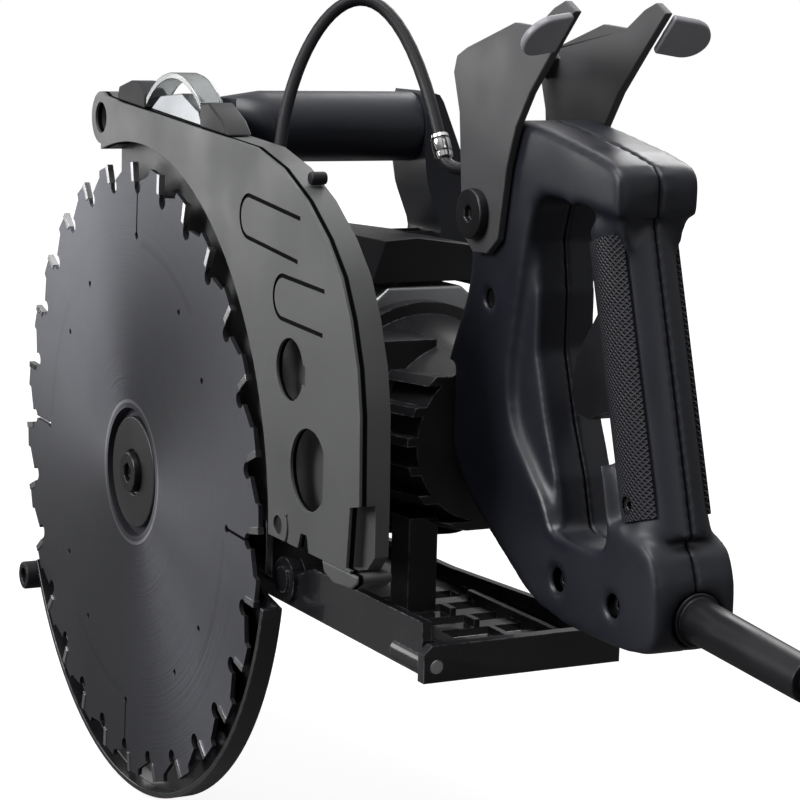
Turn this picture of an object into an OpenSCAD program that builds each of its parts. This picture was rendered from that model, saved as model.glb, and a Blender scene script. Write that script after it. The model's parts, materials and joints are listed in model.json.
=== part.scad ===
/* [Blade] */
// Diameter of the blade across its tooth tips
blade_d = 260; // [250:1:266]
// Number of teeth round the blade
tooth_n = 28; // [20:1:36]
// Thickness of the blade's steel plate
plate_t = 1.8; // [1.5:0.1:2.2]
// Width that the carbide tips cut
kerf = 2.6; // [2.4:0.1:3]
// Depth of a gullet below the tooth tips
gullet_h = 13; // [9:0.5:16]
// Length of the four expansion slots below the gullets
slot_len = 17; // [8:1:28]
// Diameter of the blade's sunk centre
dish_d = 58; // [54:1:64]

/* [Spindle] */
// Diameter of the arbor where the blade sits
arbor_d = 16; // [14:0.5:18]
// Diameter of the arbor in its bearings
journal_d = 17; // [16.5:0.5:19]
// Diameter of the outer flange
outer_flange_d = 47; // [40:1:50]
// Diameter of the inner flange
inner_flange_d = 48; // [40:1:54]
// Diameter of the blade bolt's head
bolt_head_d = 17; // [14:0.5:18]
// Radial running clearance of shafts in their bearings
run_gap = 0.05; // [0.02:0.01:0.08]

/* [Worm gear] */
// Pitch radius of the worm wheel
wheel_r = 22; // [21:0.5:22.5]
// Width of the worm wheel
wheel_w = 15; // [10:1:20]
// Height of the worm's axis over the arbor's axis
worm_rise = 38; // [38:0.5:40]
// Length of the worm's thread
worm_len = 44; // [30:1:50]

/* [Foot] */
// Height of the arbor's axis over the foot's sole at full depth
arbor_h = 30; // [30:0.5:34]
// Width of the foot plate
foot_w = 68; // [66:1:80]
// Rear end of the foot plate, behind the arbor
foot_rear = 241; // [241:1:260]
// Front end of the foot plate, before the arbor
foot_front = 150; // [148:1:170]
// Thickness of the foot plate
foot_t = 3; // [2.5:0.1:3]
// Height of the rolled lip round the foot
lip_h = 13; // [9:1:16]
// Largest bevel angle, which the quadrant's slot allows
bevel_max = 45; // [30:1:50]
// Largest swing of the saw above the foot, which the strut's slot allows
depth_swing = 38; // [25:1:40]

/* [Guards] */
// Depth of the upper guard from its face to its back wall
guard_depth = 12; // [11:0.5:12.5]
// Thickness of the upper guard's face and rim
guard_wall = 2.5; // [2:0.1:3]
// Space between the tooth tips and the lower guard's outer edge
guard_gap = 6.5; // [5.5:0.1:7]
// Outer diameter of the gear housing's nose, on which the lower guard turns
nose_d = 76; // [70:1:80]

/* [Motor] */
// Outer radius of the motor barrel
barrel_r = 45; // [44:0.5:46]
// Wall of the motor barrel
barrel_wall = 3; // [2:0.25:4]
// Radius of the armature core
core_r = 24; // [20:0.5:26]
// Diameter of the motor shaft
motor_shaft_d = 12; // [10:0.5:13]

/* [Handles] */
// Width of the rear handle across its two shells
rear_w = 32; // [28:1:36]
// Diameter of the top handle's bar
bar_d = 28; // [24:0.5:30]
// Travel of the trigger at its tip, in degrees
trigger_swing = 8; // [4:1:10]

/* [Cord] */
// Diameter of the power cord
cord_d = 9; // [8:0.5:10]
// Diameter of the strain relief at the handle
boot_d = 15; // [13:0.5:18]

/* [Hidden] */
$fn = 64;
wheel_n = 15;
worm_starts = 3;
blade_x = -52;
blade_r = blade_d / 2;
pitch_deg = 360 / tooth_n;
gullet_r = blade_r - gullet_h;
lower_guard_r = blade_r + guard_gap;
drawn_r = 130;
dish_step = 4;
plate_x = 0.4;
disc_x = plate_x + dish_step;
disc_back = disc_x + plate_t;
arbor_r = arbor_d / 2;
journal_r = journal_d / 2;
inner_flange_t = 4;
shoulder_x = disc_back + inner_flange_t;
nose_r = nose_d / 2;
back_wall_x = guard_depth - guard_wall + 0.5;
guard_back = guard_depth + 0.5;
wheel_x = 74;
wheel_tip_r = wheel_r + 1.6;
wheel_root_r = wheel_r - 2.2;
worm_pitch_r = worm_rise - wheel_r;
worm_tip_r = worm_pitch_r + 1.5;
worm_root_r = worm_pitch_r - 2.4;
worm_lead = worm_starts * 2 * PI * wheel_r / wheel_n;
lead_angle = atan(worm_lead / (2 * PI * worm_pitch_r));
motor_r = motor_shaft_d / 2;
depth_y = foot_front - 32;
rail_front = foot_front - 19;
lever_y = rail_front + 5;
rail_x = 14;
rail_t = 3.6;
rail_z = -21.2;
rail_rear = 5.5 - foot_rear;
bevel_x = 17;
bevel_z = -24.5;
bevel_pin_r = 2.5;
depth_z = -12;
depth_pin_r = 3;
plate_rear = 66;
strut_w = 20;
strut_gap = 21;
strut_r = depth_y + plate_rear + strut_gap + strut_w / 2;
strut_slot = 8.2;
clamp_angle = 5;
clamp_y = depth_y - strut_r * cos(clamp_angle);
clamp_z = depth_z + strut_r * sin(clamp_angle);
lock_y = 30;
lock_travel = 4.5;
lever_x = wheel_x - barrel_r - 3.4;
hook_y = -192;
hook_z = 125;
side_l = 74 - rear_w / 2;
side_r = 74 + rear_w / 2;

// Moves a piece from arbor coordinates, whose origin is on the blade's outer face, to the foot's sole
module saw() {
  translate([blade_x, 0, arbor_h])
    children();
}

// Extrudes an outline of Y and Z along X
module slab(x0, x1) {
  translate([x0, 0, 0])
    rotate([90, 0, 90])
      linear_extrude(x1 - x0)
        children();
}

// Extrudes an outline of X and Z along Y
module slice(y0, y1) {
  translate([0, y1, 0])
    rotate([90, 0, 0])
      linear_extrude(y1 - y0)
        children();
}

module rod_x(r, x0, x1, y = 0, z = 0) {
  translate([x0, y, z])
    rotate([0, 90, 0])
      cylinder(r = r, h = x1 - x0);
}

module rod_y(r, y0, y1, x = 0, z = 0) {
  translate([x, y1, z])
    rotate([90, 0, 0])
      cylinder(r = r, h = y1 - y0);
}

module ring_x(r_out, r_in, x0, x1, y = 0, z = 0) {
  difference() {
    rod_x(r_out, x0, x1, y, z);
    rod_x(r_in, x0 - 1, x1 + 1, y, z);
  }
}

module ring_y(r_out, r_in, y0, y1, x = 0, z = 0) {
  difference() {
    rod_y(r_out, y0, y1, x, z);
    rod_y(r_in, y0 - 1, y1 + 1, x, z);
  }
}

// Point of the blade's plane at an angle from the top, counted towards the rear
function polar(r, a) = [-r * sin(a), r * cos(a)];

// Outline of a sector of a ring between two angles from the top
module sector(r_in, r_out, a0, a1, steps = 16) {
  arc = [for (i = [0 : steps]) a0 + (a1 - a0) * i / steps];
  far = r_out / cos((a1 - a0) / steps / 2);
  difference() {
    intersection() {
      circle(r = r_out, $fn = 128);
      polygon(concat([[0, 0]], [for (a = arc) polar(far * 1.02, a)]));
    }
    circle(r = r_in, $fn = 128);
  }
}

// Slanted hexagon or round recess of a socket screw, and its head, along X
module screw_x(r, x0, x1, y, z, socket_r) {
  difference() {
    rod_x(r, x0, x1, y, z);
    translate([x0 - 1, y, z])
      rotate([0, 90, 0])
        cylinder(r = socket_r, h = 1 + (x1 - x0) * 0.6, $fn = 6);
  }
}

root_r = 3.2;
root_y = 4.6;
tip_len = 8;
rake = 0.17;

// Place of a tooth's front face at a distance below the tooth tips
function face_y(depth) = -depth * rake;

module gullet(a) {
  root_z = gullet_r + root_r;
  rotate(a) {
    translate([-root_y, root_z])
      circle(r = root_r, $fn = 32);
    polygon([[face_y(gullet_h - root_r), root_z], [face_y(-1), blade_r + 1], [-20, blade_r + 4],
      [-17, blade_r - 4.5], [-root_y - 2.4, root_z + 2.2], [-root_y - 0.4, gullet_r]]);
  }
}

// Seat of one tooth's tip, open to the gullet before it
module tip_seat(i) {
  rotate(i * pitch_deg)
    polygon([[-5, blade_r + 2], [3.04, blade_r + 2], [1.2, blade_r - tip_len], [-5, blade_r - tip_len]]);
}

// Blade plate with gullets, expansion slots and damping holes, its centre sunk for the flange
module blade() {
  dish_r = dish_d / 2;
  slot_w = 1.2;
  hole_r = 1.3;
  dot_r = 89;
  color("dimgray") saw() difference() {
    union() {
      slab(plate_x, plate_x + plate_t)
        difference() {
          circle(r = blade_r - 0.6, $fn = 180);
          for (i = [0 : tooth_n - 1]) {
            gullet(i * pitch_deg);
            tip_seat(i);
          }
          for (q = [0 : 3]) {
            rotate(round(q * tooth_n / 4) * pitch_deg + asin(root_y / gullet_r)) {
              translate([-slot_w / 2, gullet_r - slot_len])
                square([slot_w, slot_len + root_r]);
              translate([0, gullet_r - slot_len])
                circle(r = 1.6, $fn = 24);
            }
            for (s = [-1, 1])
              rotate(q * 90 + 45 + s * 11)
                translate([0, dot_r])
                  circle(r = hole_r, $fn = 24);
          }
        }
      rod_x(dish_r, plate_x + plate_t / 2, disc_back);
    }
    rod_x(dish_r - plate_t, plate_x - 1, disc_x);
    rod_x(arbor_r + 0.05, 0, disc_back + 1);
  }
}

module carbide_tips() {
  side = (kerf - plate_t) / 2;
  color("silver") saw()
    for (i = [0 : tooth_n - 1])
      rotate([i * pitch_deg, 0, 0])
        slab(plate_x - side, plate_x + plate_t + side)
          polygon([[0, blade_r], [2.6, blade_r - 0.4], [1.2, blade_r - tip_len],
            [face_y(tip_len), blade_r - tip_len]]);
}

module outer_flange() {
  color([0.13, 0.13, 0.14]) saw() difference() {
    rod_x(outer_flange_d / 2, 1.2, disc_x);
    rod_x(4.1, 0, disc_x + 1);
    rod_x(bolt_head_d / 2 + 1, 0, 2.8);
  }
}

module inner_flange() {
  color("gray") saw()
    ring_x(inner_flange_d / 2, arbor_r + 0.05, disc_back, shoulder_x);
}

module blade_bolt() {
  color([0.15, 0.15, 0.16]) saw() {
    screw_x(bolt_head_d / 2, -1.4, 2.8, 0, 0, 4.2);
    rod_x(4, 2.8, 26);
  }
}

module arbor_shaft() {
  color("lightsteelblue") saw() difference() {
    union() {
      rod_x(arbor_r, disc_x, shoulder_x);
      rod_x(journal_r, shoulder_x, 95);
    }
    rod_x(4.05, 0, 27);
  }
}

// Worm wheel with slanted teeth, cut to the worm's lead
module worm_wheel() {
  tooth = 360 / wheel_n;
  turn = wheel_w * tan(lead_angle) / wheel_r * 180 / PI;
  color("goldenrod") saw() difference() {
    translate([wheel_x - wheel_w / 2, 0, 0])
      rotate([90, 0, 90])
        rotate(turn / 2)
          linear_extrude(wheel_w, twist = turn, slices = 6, segments = 1)
            polygon([for (i = [0 : wheel_n - 1])
              for (p = [[-0.29, wheel_root_r], [-0.1, wheel_tip_r],
                [0.1, wheel_tip_r], [0.29, wheel_root_r]])
                polar(p[1], (i + p[0]) * tooth)]);
    rod_x(journal_r + 0.02, 0, 120);
  }
}

module worm() {
  turn = worm_len / worm_lead * 360;
  start = 360 / worm_starts;
  mid = turn / 2 + 90 + start / 2;
  color("lightsteelblue") saw() difference() {
    translate([wheel_x, worm_len / 2, worm_rise])
      rotate([90, 0, 0])
        rotate(mid - 180)
          linear_extrude(worm_len, twist = turn, slices = 48, segments = 1)
            polygon([for (i = [0 : worm_starts - 1])
              for (p = [[-0.5, worm_root_r], [-0.35, worm_root_r], [-0.22, worm_root_r],
                [-0.08, worm_tip_r], [0.08, worm_tip_r], [0.22, worm_root_r], [0.35, worm_root_r]])
                [p[1] * cos((i + p[0]) * start), p[1] * sin((i + p[0]) * start)]]);
    rod_y(motor_r + 0.02, -60, 60, wheel_x, worm_rise);
  }
}

module motor_shaft() {
  color("lightgray") saw()
    rod_y(motor_r, -172, 44, wheel_x, worm_rise);
}

module armature_core() {
  color([0.45, 0.45, 0.47]) saw() difference() {
    ring_y(core_r, motor_r + 0.02, -112, -66, wheel_x, worm_rise);
    for (i = [0 : 11])
      translate([wheel_x, 0, worm_rise])
        rotate([0, i * 30, 0])
          translate([-1, -120, core_r - 4])
            cube([2, 60, 6]);
  }
}

module armature_windings() {
  color([0.72, 0.4, 0.2]) saw() {
    ring_y(core_r - 3, motor_r + 0.5, -66, -60.3, wheel_x, worm_rise);
    ring_y(core_r - 3, motor_r + 0.5, -122, -112, wheel_x, worm_rise);
  }
}

module commutator() {
  color("peru") saw()
    ring_y(13, motor_r + 0.02, -142, -122, wheel_x, worm_rise);
}

module fan() {
  color([0.2, 0.2, 0.22]) saw() {
    ring_y(10, motor_r + 0.02, -165, -148, wheel_x, worm_rise);
    ring_y(21, 9.9, -165, -162.5, wheel_x, worm_rise);
    for (i = [0 : 9])
      translate([wheel_x, 0, worm_rise])
        rotate([0, i * 36, 0])
          translate([-0.8, -162.6, 9.5])
            cube([1.6, 10, 11]);
  }
}

// A point, or points, drawn for one blade radius, moved out or in with the blade
function placed(y, z) = let (p = [y, z]) p * (1 + (blade_r - drawn_r) / norm(p));

function follow(points) = [for (p = points) placed(p[0], p[1])];

// Rounds the corners of an outline, each cut back by a share of its two sides
function soften(p, t = 0.22) = [for (i = [0 : len(p) - 1]) let (q = p[(i + 1) % len(p)])
  for (s = [t, 1 - t]) p[i] * (1 - s) + q * s];

// Side outline of the upper guard, with its rear edge and top as chosen points
function guard_outline() = [[38, 138], [38, 156], [14, 153.5], [-42, 149.5], [-91, 146], [-121, 144],
  [-144, 138], [-165, 128], [-182, 116], [-194, 104], [-202, 90], [-208, 74], [-211, 58], [-212, 28],
  [-212, 8], [-206, 2], [-137.5, 2]];

module pill(y, z, len, h, tilt) {
  translate(placed(y, z))
    rotate(tilt) {
      translate([-len, -h / 2])
        square([len, h]);
      circle(r = h / 2, $fn = 32);
    }
}

// Bolts that hold the upper guard on the gear housing
wall_bolts = [[20, 95], [-58, 50], [-30, 112]];
face_bolt = placed(-146, 7);
lug = placed(38, 146);

// Upper guard: a hollow casting over the top and rear of the blade, open below and at its inner edge
module upper_guard() {
  clear_r = lower_guard_r + 1.5;
  color([0.38, 0.38, 0.39]) saw() difference() {
    union() {
      slab(0.5, guard_back)
        polygon(concat(follow(guard_outline()), [[0, 0], [38, 60]]));
      rod_x(11, 0.5, guard_back, lug[0], lug[1]);
    }
    slab(0, back_wall_x)
      circle(r = clear_r, $fn = 128);
    slab(0.5 + guard_wall, back_wall_x)
      polygon(concat(follow([[28, 130], [28, 148], [14, 147], [-42, 143], [-121, 137], [-148, 126],
        [-176, 95], [-176, 12], [-170, -4], [-120, -4]]), [[0, 0]]));
    slab(back_wall_x - 1, guard_back + 1)
      circle(r = nose_r + 0.2, $fn = 96);
    slab(0, 4)
      translate(placed(-154, 66)) {
        circle(r = 11.5);
        translate([-13, -4])
          square([12, 7]);
        translate([-17, -34])
          circle(r = 15);
      }
    rod_x(6.5, -1, 20, lug[0], lug[1]);
    rod_x(3.6, -1, 4, face_bolt[0], face_bolt[1]);
    slab(-1, 1.1)
      difference() {
        pill(-116, 118, 44, 17, 6);
        pill(-116, 118, 45, 14.4, 6);
      }
    slab(-1, 1.1)
      difference() {
        pill(-147, 91.5, 34, 17, 3);
        pill(-147, 91.5, 35, 14.4, 3);
      }
    slab(-1, 1.3)
      translate(face_bolt)
        rotate(125)
          sector(8, 10, -70, 70);
    slab(-1, 7)
      polygon(follow([[-214, 3], [-214, 27], [-205, 25], [-203, 3]]));
    slab(-1, 4)
      polygon(follow([[-163, 1], [-166, 8], [-171, 8], [-173, 1]]));
    for (p = wall_bolts) {
      rod_x(3.1, back_wall_x - 1, guard_back + 1, p[0], p[1]);
      rod_x(5.7, back_wall_x - 1, back_wall_x + 1.5, p[0], p[1]);
    }
  }
}

module guard_heel() {
  color([0.45, 0.45, 0.46]) saw()
    slab(1, 15)
      polygon(follow([[-211, 1.9], [-182, 1.9], [-184, -2.5], [-192, -5], [-206, -4], [-211, -1]]));
}

module guard_bolts() {
  color([0.2, 0.2, 0.21]) saw() {
    rod_x(3.4, 1.2, 9.6, face_bolt[0], face_bolt[1]);
    for (p = wall_bolts) {
      rod_x(5.5, back_wall_x + 0.1, back_wall_x + 1.5, p[0], p[1]);
      rod_x(3, back_wall_x + 1.5, 22, p[0], p[1]);
    }
  }
}

// Clear dome over the guard's top edge, between its two clips
module lamp_lens() {
  color([0.85, 0.88, 0.9, 0.45]) saw()
    slab(1.5, 11)
      intersection() {
        translate(placed(-39, 126))
          difference() {
            circle(r = 42, $fn = 96);
            circle(r = 39.5, $fn = 96);
          }
        polygon(follow([[-66.7, 147.95], [-42, 149.7], [-10.3, 151.96], [-10.3, 175], [-66.7, 175]]));
      }
}

module lamp_clips() {
  color([0.1, 0.1, 0.11]) saw() {
    slab(1, 11.5)
      polygon(follow([[21, 154.6], [19, 160], [6, 163], [-4, 163], [-10, 158], [-10, 152.2]]));
    slab(1, 11.5)
      polygon(follow([[-67, 148.2], [-67, 157], [-75, 158], [-88, 152], [-94, 146.4]]));
    rod_x(2.4, 6, 12.4, placed(-156.1, 135.2)[0], placed(-156.1, 135.2)[1]);
  }
}

module lamp_reflector() {
  color([0.8, 0.8, 0.82]) saw() {
    slab(3, 9.5)
      polygon(follow([[-12, 152.4], [-22, 158], [-44, 160], [-60, 154], [-64, 148.4]]));
  }
}

function bow(t, p0, p1, p2, p3) = let (u = 1 - t)
  u * u * u * p0 + 3 * u * u * t * p1 + 3 * u * t * t * p2 + t * t * t * p3;

function unit(v) = v / norm(v);

// Rings of a round tube along a list of points
function tube_points(path, r, sides) = [for (i = [0 : len(path) - 1])
  let (
    a = path[max(i - 1, 0)],
    b = path[min(i + 1, len(path) - 1)],
    d = unit(b - a),
    ref = abs(d[2]) > 0.95 ? [0, 1, 0] : [0, 0, 1],
    u = unit(cross(d, ref)),
    v = cross(d, u))
  for (k = [0 : sides - 1])
    path[i] + r * (u * cos(k * 360 / sides) + v * sin(k * 360 / sides))];

module tube(path, r, sides) {
  n = len(path);
  polyhedron(tube_points(path, r, sides), concat(
    [[for (k = [0 : sides - 1]) k]],
    [for (i = [0 : n - 2]) for (k = [0 : sides - 1])
      [i * sides + k, (i + 1) * sides + k, (i + 1) * sides + (k + 1) % sides, i * sides + (k + 1) % sides]],
    [[for (k = [0 : sides - 1]) n * sides - 1 - k]]));
}

// Lamp cable: a tall loop from the guard's back wall to a plug, and a short lead on to the handle
module lamp_cable() {
  foot = placed(-110.7, 136);
  plug = [[62, -149, 150], [62.2, -153, 142]];
  loop = [for (i = [0 : 24]) bow(i / 24, [guard_back + 2.5, foot[0], foot[1]],
    [18, foot[0] + 6.5, 182.5], [60, -100.5, 242.6], plug[0])];
  lead = [for (i = [0 : 8])
    bow(i / 8, plug[1], [62.3, -155.8, 136.4], [66, -172, 137], [66, -188.4, 147.5])];
  color([0.08, 0.08, 0.09]) saw() {
    tube(loop, 2.4, 8);
    tube(lead, 2.4, 8);
  }
  color([0.6, 0.6, 0.62]) saw()
    tube(plug, 3.6, 16);
}

// Gear housing: nose for the lower guard, carrier of the arbor, and case round worm and wheel
module gear_housing() {
  wall = 2.2;
  case_y = 50;
  color([0.55, 0.56, 0.58]) saw() difference() {
    union() {
      rod_x(nose_r, 7, guard_back);
      slab(guard_back, 17.2)
        difference() {
          polygon([[-62, 44], [-plate_rear, 56], [-36, 117], [-24, 119], [14, 103], [28, 100], [44, 30],
            [44, -4],
            [26, -10], [-34, -10], [-56, -4]]);
          circle(r = 20);
        }
      rod_x(20.2, guard_back, 30);
      rod_x(wheel_tip_r + 2.2, 28, 104);
      slab(28, 104)
        polygon([[-56, 8], [-56, 84], [-40, 90], [36, 78], [case_y, 56], [case_y, 8], [20, -17],
          [-20, -17]]);
      slab(17.2, 28)
        polygon([[-56, 8], [-56, 70], [-36, 117], [-24, 119], [14, 103], [28, 100], [44, 30], [44, 0],
          [30, -8], [-34, -8]]);
      rod_y(30, 40, case_y + 2, wheel_x, worm_rise);
      translate([wheel_x, lock_y, 60])
        cylinder(r = 9, h = 24);
      slab(20, 28)
        polygon([[30, -8], [60, 10], [110, -3], [depth_y, depth_z + 7], [depth_y + 5, depth_z + 5],
          [depth_y + 7, depth_z], [depth_y + 5, depth_z - 5], [depth_y, depth_z - 7], [50, -19],
          [30, -17]]);
      slab(17.4, 20)
        polygon([[-56, 12], [clamp_y - 4, clamp_z + 8], [clamp_y - 8, clamp_z], [clamp_y, clamp_z - 8],
          [-56, -6], [-40, -6], [-40, 12]]);
    }
    rod_x(journal_r + 0.5, 0, 120);
    rod_x(17.5, 12, 24);
    rod_x(inner_flange_d / 2 + 0.6, 6, shoulder_x + 0.6);
    rod_x(wheel_tip_r + 0.8, 36, 94);
    rod_x(13, 94, 101.5);
    slab(36, 101)
      polygon([[-53, 16], [-53, 80], [-38, 86], [34, 75], [case_y - 3, 54], [case_y - 3, 16], [18, 4],
        [-18, 4]]);
    rod_y(16, case_y - 14, case_y + 9, wheel_x, worm_rise);
    rod_y(16 + run_gap, -57, -50, wheel_x, worm_rise);
    rod_x(depth_pin_r + run_gap, 18, 30, depth_y, depth_z);
    rod_x(4.05, 16, 21, clamp_y, clamp_z);
    for (p = wall_bolts)
      rod_x(3.05, guard_back - 0.1, 24, p[0], p[1]);
    translate([wheel_x, 10, 70])
      cylinder(r = 5.05, h = 20);
    for (a = [45 : 90 : 315])
      rod_y(2.05, case_y - 12, case_y + 3, wheel_x + 25 * cos(a), worm_rise + 25 * sin(a));
    translate([wheel_x, lock_y, 40])
      cylinder(r = 3 + run_gap, h = 60);
    translate([wheel_x, lock_y, 78])
      cylinder(r = 6, h = 20);
  }
}

module gear_cover() {
  color([0.5, 0.51, 0.53]) saw() difference() {
    union() {
      rod_y(30, 52, 56, wheel_x, worm_rise);
      rod_y(15.9, 33.6, 52, wheel_x, worm_rise);
      rod_y(16, 56, 60, wheel_x, worm_rise);
    }
    rod_y(12, 33, 44.6, wheel_x, worm_rise);
    for (a = [45 : 90 : 315])
      rod_y(2.1, 50, 60, wheel_x + 25 * cos(a), worm_rise + 25 * sin(a));
  }
}

module nose_ring() {
  color([0.35, 0.35, 0.36]) saw()
    ring_x(nose_r + 2.2, 30, 6.1, 7);
}

module housing_screws() {
  color([0.2, 0.2, 0.21]) saw() {
    for (a = [45 : 90 : 315]) {
      rod_y(2, 40, 56, wheel_x + 25 * cos(a), worm_rise + 25 * sin(a));
      rod_y(4, 56, 59, wheel_x + 25 * cos(a), worm_rise + 25 * sin(a));
    }
    translate([wheel_x, 10, 74])
      cylinder(r = 5, h = 12);
    translate([wheel_x, 10, 83.6])
      cylinder(r = 8, h = 5, $fn = 6);
  }
}

module ball_bearing_x(r_out, r_in, x0, x1) {
  mid = (r_out + r_in) / 2;
  ball = (r_out - r_in) * 0.25;
  difference() {
    union() {
      ring_x(r_out, mid + ball * 0.7, x0, x1);
      ring_x(mid - ball * 0.7, r_in, x0, x1);
    }
    translate([(x0 + x1) / 2, 0, 0])
      rotate([0, 90, 0])
        rotate_extrude()
          translate([mid, 0])
            circle(r = ball + 0.02, $fn = 32);
  }
  for (i = [0 : 8])
    rotate([i * 40, 0, 0])
      translate([(x0 + x1) / 2, 0, mid])
        sphere(r = ball, $fn = 32);
}

module arbor_bearings() {
  color("gainsboro") saw() {
    ball_bearing_x(17.4, journal_r + run_gap, 12.6, 23.6);
    ring_x(12.9, journal_r + run_gap, 94, 101.4);
  }
}

module motor_bearings() {
  color("gainsboro") saw() {
    ring_y(11.9, motor_r + run_gap, 34, 44.4, wheel_x, worm_rise);
    ring_y(16, motor_r + run_gap, -55.9, -50.2, wheel_x, worm_rise);
    ring_y(11, motor_r + run_gap, -172, -167, wheel_x, worm_rise);
  }
}

// Motor barrel, a plain cast tube behind the gear case
module motor_barrel() {
  color([0.62, 0.63, 0.65]) saw() difference() {
    union() {
      rod_y(barrel_r, -112, -56.2, wheel_x, worm_rise);
      slice(-112, -56.2)
        polygon([[56, 60], [56, 84], [62, 89], [94, 89], [100, 84], [100, 60]]);
    }
    rod_y(barrel_r - barrel_wall, -113, -59, wheel_x, worm_rise);
    rod_y(motor_r + 3, -60, -50, wheel_x, worm_rise);
  }
}

// Black rear housing of the motor, tapering to the handle, with level cooling ribs
module fin_housing() {
  rear_y = -172;
  color([0.09, 0.09, 0.1]) saw() difference() {
    union() {
      translate([wheel_x, -112.2, worm_rise])
        rotate([90, 0, 0])
          cylinder(r1 = barrel_r - 2, r2 = 30, h = -112.2 - rear_y);
      rod_y(barrel_r + 1, -120, -112.2, wheel_x, worm_rise);
      intersection() {
        translate([wheel_x, -112.2, worm_rise])
          rotate([90, 0, 0])
            cylinder(r1 = barrel_r + 3, r2 = 34, h = -112.2 - rear_y);
        for (z = [worm_rise - 44 : 11 : worm_rise + 24])
          translate([wheel_x - 60, rear_y, z])
            cube([120, -114 - rear_y, 3.4]);
      }
      translate([33, -150, worm_rise + 14])
        cube([30, 34, 22]);
      translate([46, -164, -26.6])
        cube([12, 14, 36]);
    }
    translate([wheel_x, -112, worm_rise])
      rotate([90, 0, 0])
        cylinder(r1 = barrel_r - barrel_wall - 2, r2 = 26, h = -115 - rear_y);
    rod_y(barrel_r - barrel_wall, -119, -111, wheel_x, worm_rise);
    rod_y(11.05, rear_y - 1, rear_y + 8, wheel_x, worm_rise);
    for (a = [0, 180])
      translate([wheel_x, -138, worm_rise])
        rotate([0, a, 0])
          rotate([0, 90, 0])
            cylinder(r = 8, h = 70);
  }
}

module field_stator() {
  color([0.5, 0.42, 0.36]) saw() difference() {
    rod_y(barrel_r - barrel_wall - 0.1, -112, -66, wheel_x, worm_rise);
    rod_y(core_r + 0.6, -113, -65, wheel_x, worm_rise);
    for (a = [0, 180])
      translate([wheel_x, 0, worm_rise])
        rotate([0, a, 0])
          translate([barrel_r - 17, -113, -9])
            cube([9, 48, 18]);
  }
}

module brush_gear() {
  color([0.14, 0.14, 0.15]) saw()
    for (s = [-1, 1]) {
      rod_x(4, wheel_x + (s > 0 ? 13.1 : -26), wheel_x + (s > 0 ? 26 : -13.1), -138, worm_rise);
      difference() {
        rod_x(7.9, wheel_x + (s > 0 ? 26 : -46), wheel_x + (s > 0 ? 46 : -26), -138, worm_rise);
        translate([wheel_x + s * 45, -139, worm_rise - 6])
          cube([4, 2, 12]);
      }
    }
}

function handle_outline() = [[-181, 122], [-182, 100], [-171, 78], [-164, 62], [-167, 46], [-178, 28],
  [-194, 15.5], [-210, 6], [-231, -6.5], [-257, -11], [-287, -11], [-305, -9], [-311, -5], [-311, 14],
  [-306, 26], [-292, 30], [-255, 122], [-279, 128], [-280, 144], [-274, 149], [-217, 159.5], [-200, 158],
  [-190, 148]];

function window_outline() = [[-226, 135], [-250, 133.5], [-252, 126], [-264, 75], [-279, 27], [-276, 19],
  [-244, 19], [-239, 29], [-228, 39], [-215, 51], [-210.5, 67], [-215, 92], [-220, 115]];

module on_grip() {
  translate([wheel_x, -278, 77])
    rotate([-16.7, 0, 0])
      children();
}

// Rear D handle before it is split into its left and right shells
module handle_body() {
  difference() {
    union() {
      difference() {
        slab(side_l, side_r)
          polygon(soften(handle_outline()));
        slab(side_l - 1, side_r + 1)
          polygon(soften(window_outline()));
        slab(side_l - 1, side_r + 1)
          polygon([[-290, 28], [-264, 60], [-250, 134], [-330, 126], [-330, 28]]);
      }
      on_grip()
        translate([0, 0, -54])
          cylinder(r = 14, h = 108);
      slab(62, 86)
        polygon([[-205, 130], [-219, 131], [-224, 100], [-224, 80], [-232, 56], [-240, 38], [-246, 17],
          [-200, 12]]);
      slab(61, 87)
        polygon([[-258, 136], [-277, 136], [-277, 120], [-262, 120]]);
    }
    slab(side_l + 3, side_r - 3)
      polygon([[-184, 122], [-185, 102], [-176, 78], [-184, 40], [-197, 19], [-212, 10], [-232, -3],
        [-256, -7.5], [-288, -7.5], [-304, -5], [-308, -1], [-308, 8], [-285, 15], [-241, 15], [-226, 36],
        [-212, 50], [-206.5, 67], [-211, 92], [-216, 112], [-219, 139], [-217, 155], [-200, 154],
        [-193, 146]]);
    slab(65, 83)
      polygon([[-205, 126], [-216, 127], [-221, 100], [-221, 80], [-229, 56], [-237, 38], [-242, 20],
        [-200, 14]]);
    rod_y(34.4, -172.3, -150, wheel_x, worm_rise);
    on_grip()
      translate([0, 0, -50])
        cylinder(r = 11, h = 96);
    slab(66.4, 81.6)
      polygon([[-235, 55], [-235, 102], [-262, 102], [-276, 55]]);
    on_grip()
      pad_sector(12.9, 20);
    for (y = [-249, -284])
      rod_x(4, side_l - 1, side_r + 1, y, y == -249 ? 4 : 3);
    rod_y(boot_d / 2 + 1.6, -313, -302, 75, 3);
    rod_x(3.3, side_l - 1, side_l + 8, -196, 95);
    rod_x(4.55, side_l - 1, side_r + 1, hook_y, hook_z);
    rod_x(2.02, 63, 85, -262, 94);
    rod_x(3.05, side_l - 1, 67, -289, 38);
  }
}

module handle_left() {
  color([0.15, 0.15, 0.19]) saw() intersection() {
    handle_body();
    translate([0, -400, -100])
      cube([wheel_x - 0.05, 400, 400]);
  }
}

module handle_right() {
  color([0.15, 0.15, 0.19]) saw() intersection() {
    handle_body();
    translate([wheel_x + 0.05, -400, -100])
      cube([60, 400, 400]);
  }
}

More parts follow.
